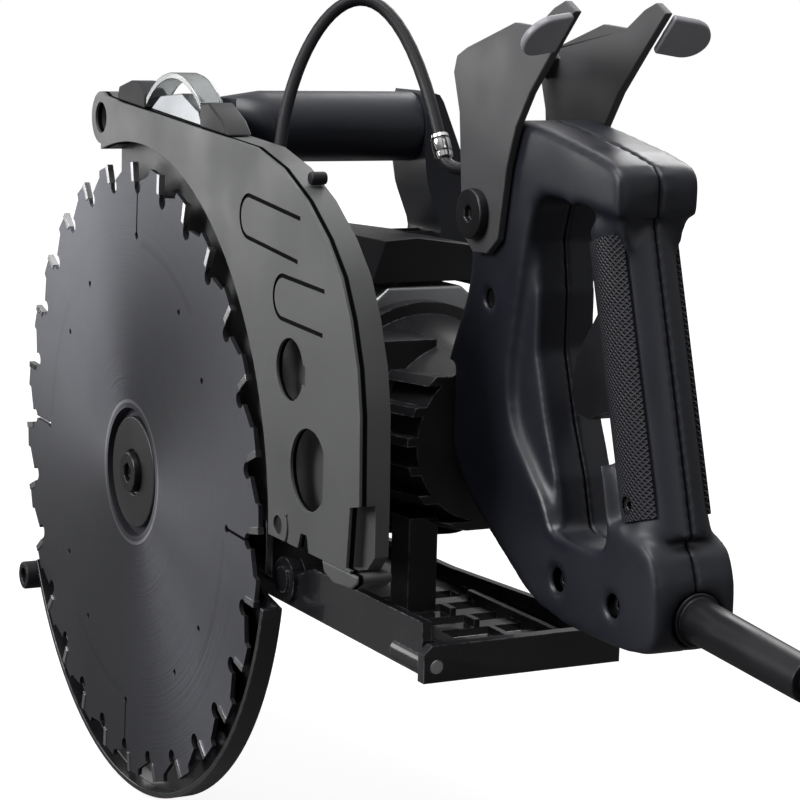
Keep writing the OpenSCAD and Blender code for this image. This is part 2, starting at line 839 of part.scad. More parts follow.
// Side strips of the grip, one each side
module pad_sector(r_in, r_out) {
  for (s = [0, 1])
    mirror([s, 0, 0])
      translate([0, 0, -46])
        linear_extrude(94)
          intersection() {
              difference() {
                circle(r = r_out, $fn = 96);
                circle(r = r_in, $fn = 96);
              }
              polygon([[0, 0], [-30 * cos(40), 30 * sin(40)], [-40, 0], [-30 * cos(44), -30 * sin(44)]]);
            }
}

module grip_pads() {
  color([0.07, 0.07, 0.09]) saw() difference() {
    on_grip()
      pad_sector(12.95, 14.7);
    rod_x(3.05, side_l - 1, 67, -289, 38);
  }
}

module handle_screws() {
  color([0.16, 0.16, 0.17]) saw() {
    for (y = [-249, -284])
      screw_x(3.9, side_l + 4, side_r - 3, y, y == -249 ? 4 : 3, 2.2);
    rod_x(3.2, side_l + 2, side_l + 8, -196, 95);
    screw_x(3, 60.5, 66, -289, 38, 1.5);
    rod_x(2, 64, 84, -262, 94);
  }
}

module switch_block() {
  color([0.2, 0.2, 0.22]) saw() on_grip() {
    translate([-7.4, -7.4, 21])
      cube([14.8, 14.8, 23]);
    translate([-2, -1, 17.4])
      cube([4, 5, 4]);
  }
}

module trigger() {
  color([0.1, 0.1, 0.12]) saw() difference() {
    slab(67, 81)
      polygon([[-263, 99], [-257, 99], [-250, 90], [-242.5, 80], [-240, 68], [-244, 60.5], [-252, 60],
        [-262, 64], [-267, 64], [-268, 84]]);
    slab(69, 79)
      polygon([[-268, 84], [-260, 84], [-250, 64], [-262, 62], [-270, 62]]);
    rod_x(2.05, 60, 90, -262, 94);
  }
}

bar_y = -60;
bar_z = 148;

// Bar of the top handle, across the saw over the gear housing
module top_handle_bar() {
  color([0.11, 0.12, 0.15]) saw() difference() {
    union() {
      rod_x(bar_d / 2, 30, 96, bar_y, bar_z);
      hull() {
        rod_x(bar_d / 2, 29, 31, bar_y, bar_z, $fn = 32);
        translate([16, bar_y - 8, bar_z - 3])
          cube([2, 18, 14]);
      }
    }
    rod_x(4.05, 60, 97, bar_y, bar_z);
  }
}

// Cast arm that bends down from the bar's end to the bracket
module top_handle_arm() {
  color([0.2, 0.2, 0.24]) saw() difference() {
    slice(-75, -46)
      polygon(soften([[96.3, 163], [103, 161], [112, 140], [119, 122], [120, 95.8], [103.6, 95.8],
        [104.4, 108], [98, 124], [96.3, 134]], 0.12));
    for (y = [-55, -67])
      rod_x(3, 100, 122, y, 103);
    rod_x(4.05, 90, 122, bar_y, bar_z);
    rod_x(7.2, 106, 130, bar_y, bar_z);
  }
}

// Block over the gear housing and motor barrel, on which the handle's arm is bolted
module handle_bracket() {
  color([0.08, 0.08, 0.09]) saw() difference() {
    union() {
      slice(-112, -46)
        polygon([[55, 92], [60, 107], [74, 108], [103.4, 104], [103.4, 90.8], [56, 90.8]]);
      slice(-112, -46)
        polygon([[103, 90.8], [103, 95.6], [118, 95.6], [118, 86], [103, 88]]);
    }
    for (y = [-55, -67])
      rod_x(3, 84, 120, y, 103);
  }
  color([0.2, 0.2, 0.2]) saw() {
    for (y = [-55, -67]) {
      rod_x(2.9, 88, 120, y, 103);
      screw_x(5.5, 120.05, 124, y, 103, 2.5);
    }
    rod_x(4, 62, 106, bar_y, bar_z);
    screw_x(7, 106.05, 110, bar_y, bar_z, 3);
  }
}

module hook_plate() {
  difference() {
    polygon([[-183, 116], [-180, 132], [-177, 160], [-172, 174], [-174, 180], [-181, 183], [-214, 192.5],
      [-229, 191.5], [-240, 198], [-247, 200.5], [-253.5, 197], [-240.5, 184], [-226, 169], [-217.5, 157],
      [-212, 143], [-207, 117], [-200, 111.5], [-190, 111]]);
    translate([hook_y, hook_z])
      circle(r = 4.6, $fn = 48);
  }
}

// Rafter hook: two sheet plates joined by a bridge, turning on the handle's sides
module rafter_hook() {
  color([0.3, 0.3, 0.31]) saw() {
    slab(side_l - 3.4, side_l - 0.4)
      hook_plate();
    slab(side_r + 0.4, side_r + 3.4)
      hook_plate();
    slab(side_l - 3.4, side_r + 3.4)
      polygon([[-178, 172], [-175, 175], [-183, 182.6], [-186, 179.6]]);
  }
}

// Thumb tabs, bent outward from the plates' upper rear edges
module hook_tabs() {
  edge = 17;
  reach = 8.8;
  color([0.6, 0.6, 0.62]) saw()
    for (s = [0, 1])
      translate([s * 2 * wheel_x, -247.4, 190.2])
        mirror([s, 0, 0])
          rotate([45, 0, 0])
            translate([side_l - 3.4, 0, 0])
              rotate([0, 0, 12])
                translate([-reach, -1.5, -edge / 2]) {
                  cube([reach - 0.4, 3, edge]);
                  rotate([-90, 0, 0])
                    translate([0, -edge / 2, 0])
                      cylinder(r = edge / 2, h = 3);
                }
}

module hook_pivots() {
  color([0.18, 0.18, 0.19]) saw() {
    rod_x(4.5, side_l - 3.5, side_r + 3.5, hook_y, hook_z);
    screw_x(9, side_l - 7, side_l - 3.6, hook_y, hook_z, 3);
    rod_x(9, side_r + 3.6, side_r + 7, hook_y, hook_z);
  }
}

module spindle_lock() {
  color([0.12, 0.12, 0.13]) saw() {
    translate([wheel_x, lock_y, 49])
      cylinder(r = 3, h = 41);
    translate([wheel_x, lock_y, 84.2 + lock_travel])
      cylinder(r = 8, h = 4);
  }
}

module lock_spring() {
  turns = 3;
  path = [for (i = [0 : turns * 12])
    [wheel_x + 4.6 * cos(i * 30), lock_y + 4.6 * sin(i * 30), 78.8 + i * 9 / (turns * 12)]];
  color("silver") saw()
    tube(path, 0.6, 6);
}

// Angle from the top to the lower guard's front end, counted towards the rear
guard_end = 242;

// Lower guard: thin rim and wall round the blade's lower half, turning on the nose
module lower_guard() {
  wall_x0 = 7.2;
  wall_x1 = 9.2;
  color([0.2, 0.2, 0.21]) saw() difference() {
    union() {
      slab(wall_x0, wall_x1) {
        sector(nose_r + 4, lower_guard_r, 102, guard_end, 14);
        circle(r = nose_r + 10, $fn = 96);
      }
      slab(0.9, wall_x0 + 1)
        sector(lower_guard_r - 2.4, lower_guard_r, 102, guard_end, 14);
      ring_x(nose_r + 6, nose_r + 3, wall_x0 - 1.5, wall_x0 + 1);
    }
    rod_x(nose_r + run_gap, 0, 20);
  }
}

module guard_bumper() {
  place = polar(lower_guard_r + 6.5, guard_end - 2);
  color([0.16, 0.16, 0.17]) saw()
    translate([0, place[0], place[1]])
      ring_x(6.4, 3.4, -4, 8);
}

module guard_spring() {
  path = [for (i = [0 : 48])
    [9.6, (nose_r + 3 + i / 16) * cos(i * 30), (nose_r + 3 + i / 16) * sin(i * 30)]];
  color("silver") saw()
    tube(path, 0.3, 6);
}

// Foot plate with rolled lips, see-through slots, ears for the bevel pins and the rip fence's slot
module foot_plate() {
  z0 = -arbor_h;
  x0 = 22.5;
  x1 = x0 + foot_w;
  color([0.07, 0.07, 0.08]) saw() difference() {
    union() {
      slice(-foot_rear, foot_front)
        polygon([[x0, z0], [x0, z0 + foot_t], [x1, z0 + foot_t], [x1, z0]]);
      slice(-foot_rear, -foot_rear + 4.5)
        polygon([[12, z0], [12, z0 + lip_h - 3], [15, z0 + lip_h], [x1 - 3, z0 + lip_h],
          [x1, z0 + lip_h - 3], [x1, z0]]);
      slice(foot_front - 3, foot_front)
        polygon([[x0, z0], [x0, z0 + 8], [x1, z0 + 8], [x1, z0]]);
      slab(x1 - 3, x1)
        polygon([[-foot_rear, z0], [-foot_rear, z0 + lip_h], [-120, z0 + 8], [-28, z0 + 8],
          [-20, z0 + foot_t], [20, z0 + foot_t], [28, z0 + 8], [foot_front, z0 + 8], [foot_front, z0]]);
      for (x = [32, 60, 80])
        translate([x, -foot_rear + 2, z0 + foot_t - 1])
          cube([2.4, 90, 4]);
      slice(rail_front + 0.6, lever_y)
        polygon([[11, z0], [11, -20], [14, -17], [26, -17], [30, z0]]);
    }
    for (i = [0 : 3])
      translate([46, -200 + i * 18, z0 - 1])
        cube([34, 10, foot_t + 6]);
    translate([30, -190, z0 - 1])
      cube([8, 60, foot_t + 6]);
    translate([70, -70, z0 - 1])
      cube([12, 130, foot_t + 3]);
    translate([x1 - 10, 92, z0 + foot_t])
      cube([20, 26, 4.6]);
    for (y = [-foot_rear - 1, rail_front - 1])
      rod_y(bevel_pin_r + 0.02, y, y + 8, bevel_x, bevel_z);
  }
}

module foot_pins() {
  color("silver") saw() {
    rod_y(bevel_pin_r, -foot_rear, rail_rear + 20, bevel_x, bevel_z);
    rod_y(bevel_pin_r, rail_front - 11, lever_y, bevel_x, bevel_z);
  }
}

quad_r = 40;
quad_a = 20;
quad_x = bevel_x + quad_r * cos(quad_a);
quad_z = bevel_z + quad_r * sin(quad_a);

// Bevel quadrant, a slotted arc that stands on the foot round the bevel axis
module bevel_quadrant() {
  y0 = rail_front + 0.6;
  y1 = lever_y - 0.4;
  color([0.3, 0.3, 0.31]) saw() difference() {
    slice(y0, y1)
      difference() {
        union() {
          intersection() {
            translate([bevel_x, bevel_z])
              difference() {
                circle(r = quad_r + 9, $fn = 128);
                circle(r = quad_r - 9, $fn = 128);
              }
            polygon([[bevel_x, bevel_z], [bevel_x + 90 * cos(9), bevel_z + 90 * sin(9)], [bevel_x + 60, 60],
              [bevel_x + 90 * cos(76), bevel_z + 90 * sin(76)]]);
          }
          translate([32, -arbor_h + foot_t])
            square([36, 14]);
        }
        difference() {
          intersection() {
            translate([bevel_x, bevel_z])
              circle(r = quad_r + 4.1, $fn = 128);
            polygon([[bevel_x, bevel_z], [bevel_x + 90 * cos(quad_a), bevel_z + 90 * sin(quad_a)],
              [bevel_x + 80, 70],
              [bevel_x + 90 * cos(quad_a + bevel_max), bevel_z + 90 * sin(quad_a + bevel_max)]]);
          }
          translate([bevel_x, bevel_z])
            circle(r = quad_r - 4.1, $fn = 128);
        }
        for (a = [quad_a, quad_a + bevel_max])
          translate([bevel_x + quad_r * cos(a), bevel_z + quad_r * sin(a)])
            circle(r = 4.1, $fn = 48);
      }
  }
}

module bevel_lever() {
  color([0.08, 0.08, 0.09]) saw() difference() {
    union() {
      rod_y(8, lever_y, lever_y + 6, quad_x, quad_z);
      slice(lever_y + 2, lever_y + 6)
        polygon([[quad_x - 4, quad_z - 5], [quad_x + 34, quad_z + 2], [quad_x + 36, quad_z + 8],
          [quad_x + 33, quad_z + 11], [quad_x, quad_z + 6]]);
    }
    rod_y(3.9 + run_gap, lever_y - 1, lever_y + 9, quad_x, quad_z);
  }
}

// Rail along the foot's left edge, which leans with the saw and carries the depth pivot
module tilt_rail() {
  arm_y = rail_front - 5;
  color([0.1, 0.1, 0.11]) saw() {
    difference() {
      union() {
        slab(rail_x, rail_x + rail_t)
          polygon([[rail_rear, -28.6], [rail_rear, -10], [-150, -10], [-120, rail_z], [98, rail_z],
            [108, -5],
            [depth_y - 5, depth_z + 7.5], [depth_y + 5, depth_z + 7.5], [rail_front, -8],
              [rail_front, -28.6]]);
        rod_y(4.4, rail_rear, rail_rear + 21, bevel_x, bevel_z);
        rod_x(8.5, rail_x - 2, rail_x + rail_t, -128, -18.5);
        rod_x(5, rail_x - 3, rail_x, -128, -18.5);
        rod_y(4.4, rail_front - 14, rail_front, bevel_x, bevel_z);
        slice(arm_y, rail_front)
          polygon([[rail_x, -28.6], [rail_x, -8], [28, -8], [quad_x + 3, quad_z + 7], [quad_x + 7, quad_z],
            [quad_x + 3, quad_z - 7], [30, -26.4], [21, -26.4], [20, -28.6]]);
        slab(28.4, 32)
          polygon([[depth_y - 7, depth_z - 3], [depth_y - 7, depth_z + 5], [depth_y + 2, depth_z + 8],
            [rail_front, -6], [rail_front, -25], [depth_y + 6, -25]]);
      }
      rod_y(bevel_pin_r + run_gap, rail_rear - 1, rail_rear + 22, bevel_x, bevel_z);
      rod_y(bevel_pin_r + run_gap, rail_front - 15, rail_front + 1, bevel_x, bevel_z);
      rod_x(depth_pin_r, 0, 50, depth_y, depth_z);
      rod_y(3.9, arm_y - 6, rail_front + 9, quad_x, quad_z);
    }
    rod_x(depth_pin_r, rail_x, 32, depth_y, depth_z);
    rod_y(3.9, arm_y - 2, lever_y + 6.5, quad_x, quad_z);
    rod_y(6.5, arm_y - 4, arm_y, quad_x, quad_z);
    rod_y(6.5, lever_y + 6.2, lever_y + 9, quad_x, quad_z);
  }
}

// Depth strut: a slotted arc round the depth pivot, standing on the rail behind the upper guard
module depth_strut() {
  half = strut_w / 2;
  a1 = clamp_angle + depth_swing + 3;
  far = strut_r + 40;
  color([0.5, 0.5, 0.52]) saw()
    slab(rail_x, rail_x + 3)
      difference() {
        intersection() {
          translate([depth_y, depth_z])
            difference() {
              circle(r = strut_r + half, $fn = 180);
              circle(r = strut_r - half, $fn = 180);
              difference() {
                circle(r = strut_r + strut_slot / 2, $fn = 180);
                circle(r = strut_r - strut_slot / 2, $fn = 180);
                polygon([[0, 0], [-far * cos(clamp_angle), far * sin(clamp_angle)], [-far, -far],
                  [0, -far]]);
                polygon([[0, 0], [-far * cos(a1 - 3), far * sin(a1 - 3)], [0, far], [far, far],
                  [far, 0]]);
              }
              for (a = [clamp_angle, clamp_angle + depth_swing])
                translate([-strut_r * cos(a), strut_r * sin(a)])
                  circle(r = strut_slot / 2, $fn = 48);
            }
          translate([depth_y, depth_z])
            polygon([[0, 0], [-far * cos(a1), far * sin(a1)], [-far, far * 0.5], [-far, -far],
              [-1, -far * 0.2]]);
          translate([-200, rail_z])
            square([400, 400]);
        }
      }
}

module depth_clamp() {
  color("silver") saw() {
    rod_x(7, rail_x - 1.4, rail_x - 0.2, clamp_y, clamp_z);
    rod_x(3.9, rail_x - 0.2, 32, clamp_y, clamp_z);
    rod_x(6.5, 30, 33, clamp_y, clamp_z);
  }
}

module depth_lever() {
  color([0.08, 0.08, 0.09]) saw() difference() {
    union() {
      rod_x(8.5, 20.3, 29.8, clamp_y, clamp_z);
      slab(lever_x - 3.6, lever_x)
        polygon([[clamp_y + 2, clamp_z - 8], [clamp_y - 62, clamp_z - 3], [clamp_y - 68, clamp_z + 3],
          [clamp_y - 64, clamp_z + 10], [clamp_y, clamp_z + 8]]);
    }
    rod_x(3.9 + run_gap, 0, 50, clamp_y, clamp_z);
  }
}

relief_y = -371;
floor_z = -137;
coil_x = 136;
coil_y = -477;
coil_mean_r = 52;
coil_h = 28;

// Route of the cord from the strain relief to the coil
cord_path = [[75, -371, -2], [75, -379, -2], [75, -388, -3], [75, -397, -7], [75, -405, -13],
  [75, -411, -21], [75, -415, -31], [75, -417, -43], [75, -418, -56], [75, -418, -70], [75, -419, -84],
  [75, -421, -97], [75, -426, -109], [75, -433, -119], [75, -442, -127]];

module cord_relief() {
  color([0.06, 0.06, 0.07]) saw() difference() {
    union() {
      rod_y(boot_d / 2 + 1.5, -311, -302.5, 75, 3);
      hull() {
        rod_y(boot_d / 2, -312, -310, 75, 3, $fn = 32);
        rod_y(boot_d / 2 - 0.6, relief_y, relief_y + 2, 75, -2, $fn = 32);
      }
    }
  }
}

module cord_run() {
  color([0.05, 0.05, 0.06]) saw()
    tube(cord_path, cord_d / 2, 10);
}

module cord_coil() {
  color([0.05, 0.05, 0.06]) saw()
    translate([coil_x, coil_y, floor_z])
      rotate_extrude($fn = 96)
        translate([coil_mean_r - coil_h / 2, 0])
          square([coil_h, coil_h]);
}

module coil_tie() {
  color([0.1, 0.1, 0.11]) saw()
    translate([coil_x + coil_mean_r, coil_y, floor_z])
      difference() {
        translate([-coil_h / 2 - 2.8, -6, 0])
          cube([coil_h + 5.1, 12, coil_h + 2.3]);
        translate([-coil_h / 2 - 0.8, -7, -1])
          cube([coil_h + 1.1, 14, coil_h + 1.3]);
      }
}

module cord_plug() {
  z = floor_z + coil_h + 12.4;
  color([0.08, 0.08, 0.09]) saw() difference() {
    union() {
      rod_y(12, coil_y - 22, coil_y + 12, coil_x - 45, z);
      hull() {
        rod_y(11, coil_y + 11, coil_y + 13, coil_x - 45, z, $fn = 32);
        rod_y(6, coil_y + 36, coil_y + 38, coil_x - 45, z, $fn = 32);
      }
    }
    for (s = [-1, 1])
      translate([coil_x - 45 + s * 6.35 - 0.8, coil_y - 23, z - 3.2])
        cube([1.6, 12, 6.4]);
  }
  color("gold") saw()
    for (s = [-1, 1])
      translate([coil_x - 45 + s * 6.35 - 0.75, coil_y - 40, z - 3.15])
        cube([1.5, 28, 6.3]);
}

foot_plate();
foot_pins();
bevel_quadrant();
bevel_lever();
tilt_rail();
depth_strut();
depth_clamp();
depth_lever();
upper_guard();
guard_heel();
guard_bolts();
lamp_lens();
lamp_clips();
lamp_reflector();
lamp_cable();
gear_housing();
gear_cover();
nose_ring();
housing_screws();
arbor_bearings();
motor_bearings();
motor_barrel();
fin_housing();
field_stator();
brush_gear();
handle_left();
handle_right();
grip_pads();
handle_screws();
switch_block();
trigger();
top_handle_bar();
top_handle_arm();
handle_bracket();
rafter_hook();
hook_tabs();
hook_pivots();
spindle_lock();
lock_spring();
blade();
carbide_tips();
outer_flange();
inner_flange();
blade_bolt();
arbor_shaft();
worm_wheel();
motor_shaft();
worm();
armature_core();
armature_windings();
commutator();
fan();
lower_guard();
guard_bumper();
guard_spring();
cord_relief();
cord_run();
cord_coil();
coil_tie();
cord_plug();
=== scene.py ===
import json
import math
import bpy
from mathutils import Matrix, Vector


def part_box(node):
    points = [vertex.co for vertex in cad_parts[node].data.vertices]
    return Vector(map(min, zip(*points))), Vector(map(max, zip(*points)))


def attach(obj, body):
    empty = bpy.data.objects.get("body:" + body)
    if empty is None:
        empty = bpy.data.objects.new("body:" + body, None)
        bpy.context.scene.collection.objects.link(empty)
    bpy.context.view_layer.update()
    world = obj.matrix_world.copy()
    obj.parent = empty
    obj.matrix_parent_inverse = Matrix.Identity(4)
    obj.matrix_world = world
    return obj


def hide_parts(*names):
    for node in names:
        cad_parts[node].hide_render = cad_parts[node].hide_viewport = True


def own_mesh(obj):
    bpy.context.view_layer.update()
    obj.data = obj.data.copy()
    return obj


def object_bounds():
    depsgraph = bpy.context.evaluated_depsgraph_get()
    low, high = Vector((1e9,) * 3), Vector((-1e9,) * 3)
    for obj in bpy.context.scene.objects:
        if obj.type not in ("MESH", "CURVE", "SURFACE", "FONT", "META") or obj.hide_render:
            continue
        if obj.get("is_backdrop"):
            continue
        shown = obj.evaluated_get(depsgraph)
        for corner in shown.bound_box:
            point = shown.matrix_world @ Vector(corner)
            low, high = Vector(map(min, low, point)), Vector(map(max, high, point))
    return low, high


bl_info = {
    "name": "Worm Drive Saw",
    "version": (1, 0, 0),
    "blender": (4, 5, 0),
    "location": "View3D > Sidebar > Saw",
    "description": "Finishes, cord, soft grips and stage for a worm drive circular saw",
    "category": "Object",
}

import bmesh
import bpy
from bpy.props import FloatProperty, FloatVectorProperty, PointerProperty
from mathutils import Vector

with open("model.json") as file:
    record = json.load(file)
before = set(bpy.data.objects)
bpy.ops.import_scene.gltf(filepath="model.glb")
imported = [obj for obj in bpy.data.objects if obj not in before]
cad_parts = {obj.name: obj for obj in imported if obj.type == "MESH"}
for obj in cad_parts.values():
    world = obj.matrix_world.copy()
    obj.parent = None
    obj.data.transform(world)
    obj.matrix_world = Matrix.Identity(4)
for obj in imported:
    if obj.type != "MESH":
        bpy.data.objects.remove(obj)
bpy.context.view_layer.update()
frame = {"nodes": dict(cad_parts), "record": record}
MM = 0.001


def joint_place(name):
    """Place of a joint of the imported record, in metres"""
    joints = frame["record"]["behaviour"]["joints"]
    return Vector(next(j["pos_m"] for j in joints if j["name"] == name))


BLADE_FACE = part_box("blade")[0].x - 0.4 * MM
ARBOR = Vector((BLADE_FACE, joint_place("blade_spin").y, joint_place("blade_spin").z))


def at(x, y, z):
    """Point in millimetres from the arbor on the blade's face, as a place in the frame"""
    return ARBOR + Vector((x, y, z)) * MM


class SawLooks(bpy.types.PropertyGroup):
    """Sizes and colours that a user may change"""

    edge_round: FloatProperty(
        name="Edge round",
        description="Radius of broken edges on cast and bent metal",
        default=0.6 * MM,
        unit="LENGTH",
    )
    guard_colour: FloatVectorProperty(
        name="Guard",
        description="Powder coat of the upper guard",
        default=(0.078, 0.079, 0.080),
        subtype="COLOR",
    )
    handle_colour: FloatVectorProperty(
        name="Handle",
        description="Moulded body of the rear handle",
        default=(0.012, 0.013, 0.019),
        subtype="COLOR",
    )
    cast_colour: FloatVectorProperty(
        name="Casting",
        description="Bare cast gear housing and motor barrel",
        default=(0.3, 0.305, 0.315),
        subtype="COLOR",
    )
    foot_colour: FloatVectorProperty(
        name="Foot",
        description="Paint of the foot and its rail",
        default=(0.012, 0.012, 0.014),
        subtype="COLOR",
    )


def looks():
    return bpy.context.scene.saw_looks


def deselect():
    """Leaves object mode with nothing selected"""
    if bpy.context.object and bpy.context.object.mode != "OBJECT":
        bpy.ops.object.mode_set(mode="OBJECT")
    bpy.ops.object.select_all(action="DESELECT")


def choose(*pieces):
    deselect()
    for piece in pieces:
        piece.select_set(True)
    bpy.context.view_layer.objects.active = pieces[-1]


def settle(piece):
    """Puts a piece's place, turn and size into its mesh"""
    choose(piece)
    bpy.ops.object.transform_apply(location=True, rotation=True, scale=True)


def modify(piece, kind, **values):
    """Adds a modifier with these values and applies it"""
    choose(piece)
    modifier = piece.modifiers.new(kind.title(), kind)
    for name, value in values.items():
        setattr(modifier, name, value)
    bpy.ops.object.modifier_apply(modifier=modifier.name)


def clean_copy(node, name):
    """Copy of a CAD node's mesh as one closed skin with flat faces joined"""
    source = frame["nodes"][node]
    mesh = source.data.copy()
    mesh.name = name
    piece = bpy.data.objects.new(name, mesh)
    bpy.context.scene.collection.objects.link(piece)
    choose(piece)
    bpy.ops.object.mode_set(mode="EDIT")
    bpy.ops.mesh.select_all(action="SELECT")
    bpy.ops.mesh.remove_doubles(threshold=0.004 * MM)
    bpy.ops.mesh.dissolve_limited(angle_limit=math.radians(0.6))
    bpy.ops.object.mode_set(mode="OBJECT")
    return piece


def body_of(node):
    bodies = frame["record"]["behaviour"]["bodies"]
    return next(body for body, nodes in bodies.items() if node in nodes)


def paint(piece, material):
    piece.data.materials.clear()
    piece.data.materials.append(material)


def carry(piece, node, *others):
    """Lets a piece ride, and stand for its CAD nodes"""
    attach(piece, body_of(node))
    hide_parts(node, *others)
    return piece


def dress(node, material, edge=None, segments=2, smooth=34):
    """Stands a copy with broken edges for a CAD node"""
    piece = clean_copy(node, node + "_finished")
    width = looks().edge_round if edge is None else edge * MM
    if width > 0:
        modify(piece, "BEVEL", width=width, segments=segments, limit_method="ANGLE",
               angle_limit=math.radians(32), use_clamp_overlap=True, harden_normals=False)
    choose(piece)
    bpy.ops.object.shade_smooth_by_angle(angle=math.radians(smooth))
    modify(piece, "WEIGHTED_NORMAL", keep_sharp=True, weight=80)
    paint(piece, material)
    return carry(piece, node)


def mould(node, material, voxel, rounds, weight):
    """Stands a copy with broadly rounded outer edges for a moulded CAD node"""
    piece = clean_copy(node, node + "_moulded")
    modify(piece, "REMESH", mode="VOXEL", voxel_size=voxel * MM)
    group = piece.vertex_groups.new(name="rounded")
    for vertex in piece.data.vertices:
        group.add([vertex.index], weight(vertex.co), "REPLACE")
    modify(piece, "SMOOTH", factor=0.5, iterations=rounds, vertex_group=group.name)
    choose(piece)
    bpy.ops.object.shade_smooth()
    paint(piece, material)
    return carry(piece, node)


def tube_curve(name, points, radius, material):
    """Curve of one open spline through these places, with a round section"""
    curve = bpy.data.curves.new(name, "CURVE")
    curve.dimensions = "3D"
    curve.bevel_depth = radius
    curve.bevel_resolution = 5
    curve.use_fill_caps = True
    spline = curve.splines.new("POLY")
    spline.points.add(len(points) - 1)
    for target, place in zip(spline.points, points):
        target.co = (*place, 1)
    spline.use_smooth = True
    piece = bpy.data.objects.new(name, curve)
    bpy.context.scene.collection.objects.link(piece)
    curve.materials.append(material)
    return piece


def lathe(name, profile, centre, along, material, steps=48):
    """Turned piece: distances along an axis, and radii, in millimetres"""
    made = bmesh.new()
    rings = []
    turn = Vector((0, 0, 1)).rotation_difference(along.normalized())
    for height, radius in profile:
        rings.append([made.verts.new(centre + turn @ Vector((
            radius * math.cos(step * math.tau / steps), radius * math.sin(step * math.tau / steps), height,
        )) * MM) for step in range(steps)])
    for low, high in zip(rings, rings[1:]):
        for step in range(steps):
            other = (step + 1) % steps
            made.faces.new((low[step], low[other], high[other], high[step]))
    made.faces.new(reversed(rings[0]))
    made.faces.new(rings[-1])
    mesh = bpy.data.meshes.new(name)
    made.to_mesh(mesh)
    made.free()
    piece = bpy.data.objects.new(name, mesh)
    bpy.context.scene.collection.objects.link(piece)
    choose(piece)
    bpy.ops.object.shade_smooth_by_angle(angle=math.radians(40))
    paint(piece, material)
    return piece


def coat(node, material):
    """Gives a CAD node a finish without changing its mesh"""
    piece = frame["nodes"][node]
    piece.data.materials.clear()
    piece.data.materials.append(material)


class Graph:
    """Shorthand for a material's or a group's nodes"""

    def __init__(self, tree):
        self.tree = tree

    def node(self, kind, **values):
        made = self.tree.nodes.new(kind)
        for name, value in values.items():
            setattr(made, name, value)
        return made

    def link(self, a, b):
        self.tree.links.new(a, b)

    def math(self, operation, a, b=None, clamp=False):
        made = self.node("ShaderNodeMath", operation=operation, use_clamp=clamp)
        for socket, value in zip(made.inputs, (a, b)):
            if value is None:
                continue
            if isinstance(value, (int, float)):
                socket.default_value = value
            else:
                self.link(value, socket)
        return made.outputs[0]

    def mix(self, factor, a, b):
        made = self.node("ShaderNodeMix", data_type="RGBA")
        for socket, value in ((made.inputs[0], factor), (made.inputs[6], a), (made.inputs[7], b)):
            if isinstance(value, (int, float)):
                socket.default_value = value
            elif isinstance(value, (tuple, list)):
                socket.default_value = (*value[:3], 1)
            else:
                self.link(value, socket)
        return made.outputs[2]

    def span(self, value, low, high, to_low=0.0, to_high=1.0):
        made = self.node("ShaderNodeMapRange")
        self.link(value, made.inputs[0])
        for socket, number in zip(made.inputs[1:5], (low, high, to_low, to_high)):
            socket.default_value = number
        return made.outputs[0]

    def noise(self, place, scale, detail=3, rough=0.55):
        made = self.node("ShaderNodeTexNoise")
        made.inputs["Scale"].default_value = scale
        made.inputs["Detail"].default_value = detail
        made.inputs["Roughness"].default_value = rough
        self.link(place, made.inputs["Vector"])
        return made.outputs[0]


def edge_wear_and_sheen_group():
    """Mask of worn edges, broken up by a noise; the ribbed housing also uses it for a painted highlight on
    its rib edges
    """
    name = "edge wear"
    if name in bpy.data.node_groups:
        return bpy.data.node_groups[name]
    tree = bpy.data.node_groups.new(name, "ShaderNodeTree")
    for socket, value in (("Radius", 0.8 * MM), ("Break", 260)):
        made = tree.interface.new_socket(socket, in_out="INPUT", socket_type="NodeSocketFloat")
        made.default_value = value
    tree.interface.new_socket("Edge", in_out="OUTPUT", socket_type="NodeSocketFloat")
    g = Graph(tree)
    inputs = g.node("NodeGroupInput")
    outputs = g.node("NodeGroupOutput")
    place = g.node("ShaderNodeTexCoord").outputs["Object"]
    bevel = g.node("ShaderNodeBevel", samples=4)
    g.link(inputs.outputs["Radius"], bevel.inputs["Radius"])
    geometry = g.node("ShaderNodeNewGeometry")
    dot = g.node("ShaderNodeVectorMath", operation="DOT_PRODUCT")
    g.link(bevel.outputs[0], dot.inputs[0])
    g.link(geometry.outputs["Normal"], dot.inputs[1])
    edge = g.span(dot.outputs["Value"], 0.985, 0.86)
    noise = g.node("ShaderNodeTexNoise")
    noise.inputs["Detail"].default_value = 4
    g.link(place, noise.inputs["Vector"])
    g.link(inputs.outputs["Break"], noise.inputs["Scale"])
    broken = g.span(noise.outputs[0], 0.42, 0.62)
    g.link(g.math("MULTIPLY", edge, broken, clamp=True), outputs.inputs["Edge"])
    return tree


def surface_group():
    """Grain height and slow patches shared by cast, painted and moulded finishes"""
    name = "surface grain"
    if name in bpy.data.node_groups:
        return bpy.data.node_groups[name]
    tree = bpy.data.node_groups.new(name, "ShaderNodeTree")
    tree.interface.new_socket("Grain", in_out="INPUT", socket_type="NodeSocketFloat").default_value = 1500
    tree.interface.new_socket("Patch", in_out="INPUT", socket_type="NodeSocketFloat").default_value = 22
    tree.interface.new_socket("Height", in_out="OUTPUT", socket_type="NodeSocketFloat")
    tree.interface.new_socket("Patches", in_out="OUTPUT", socket_type="NodeSocketFloat")
    g = Graph(tree)
    inputs = g.node("NodeGroupInput")
    outputs = g.node("NodeGroupOutput")
    place = g.node("ShaderNodeTexCoord").outputs["Object"]
    for source, target, detail in (("Grain", "Height", 2), ("Patch", "Patches", 5)):
        noise = g.node("ShaderNodeTexNoise")
        noise.inputs["Detail"].default_value = detail
        g.link(place, noise.inputs["Vector"])
        g.link(inputs.outputs[source], noise.inputs["Scale"])
        g.link(noise.outputs[0], outputs.inputs[target])
    return tree


def shade(colour, factor):
    return tuple(min(1.0, channel * factor) for channel in colour[:3])


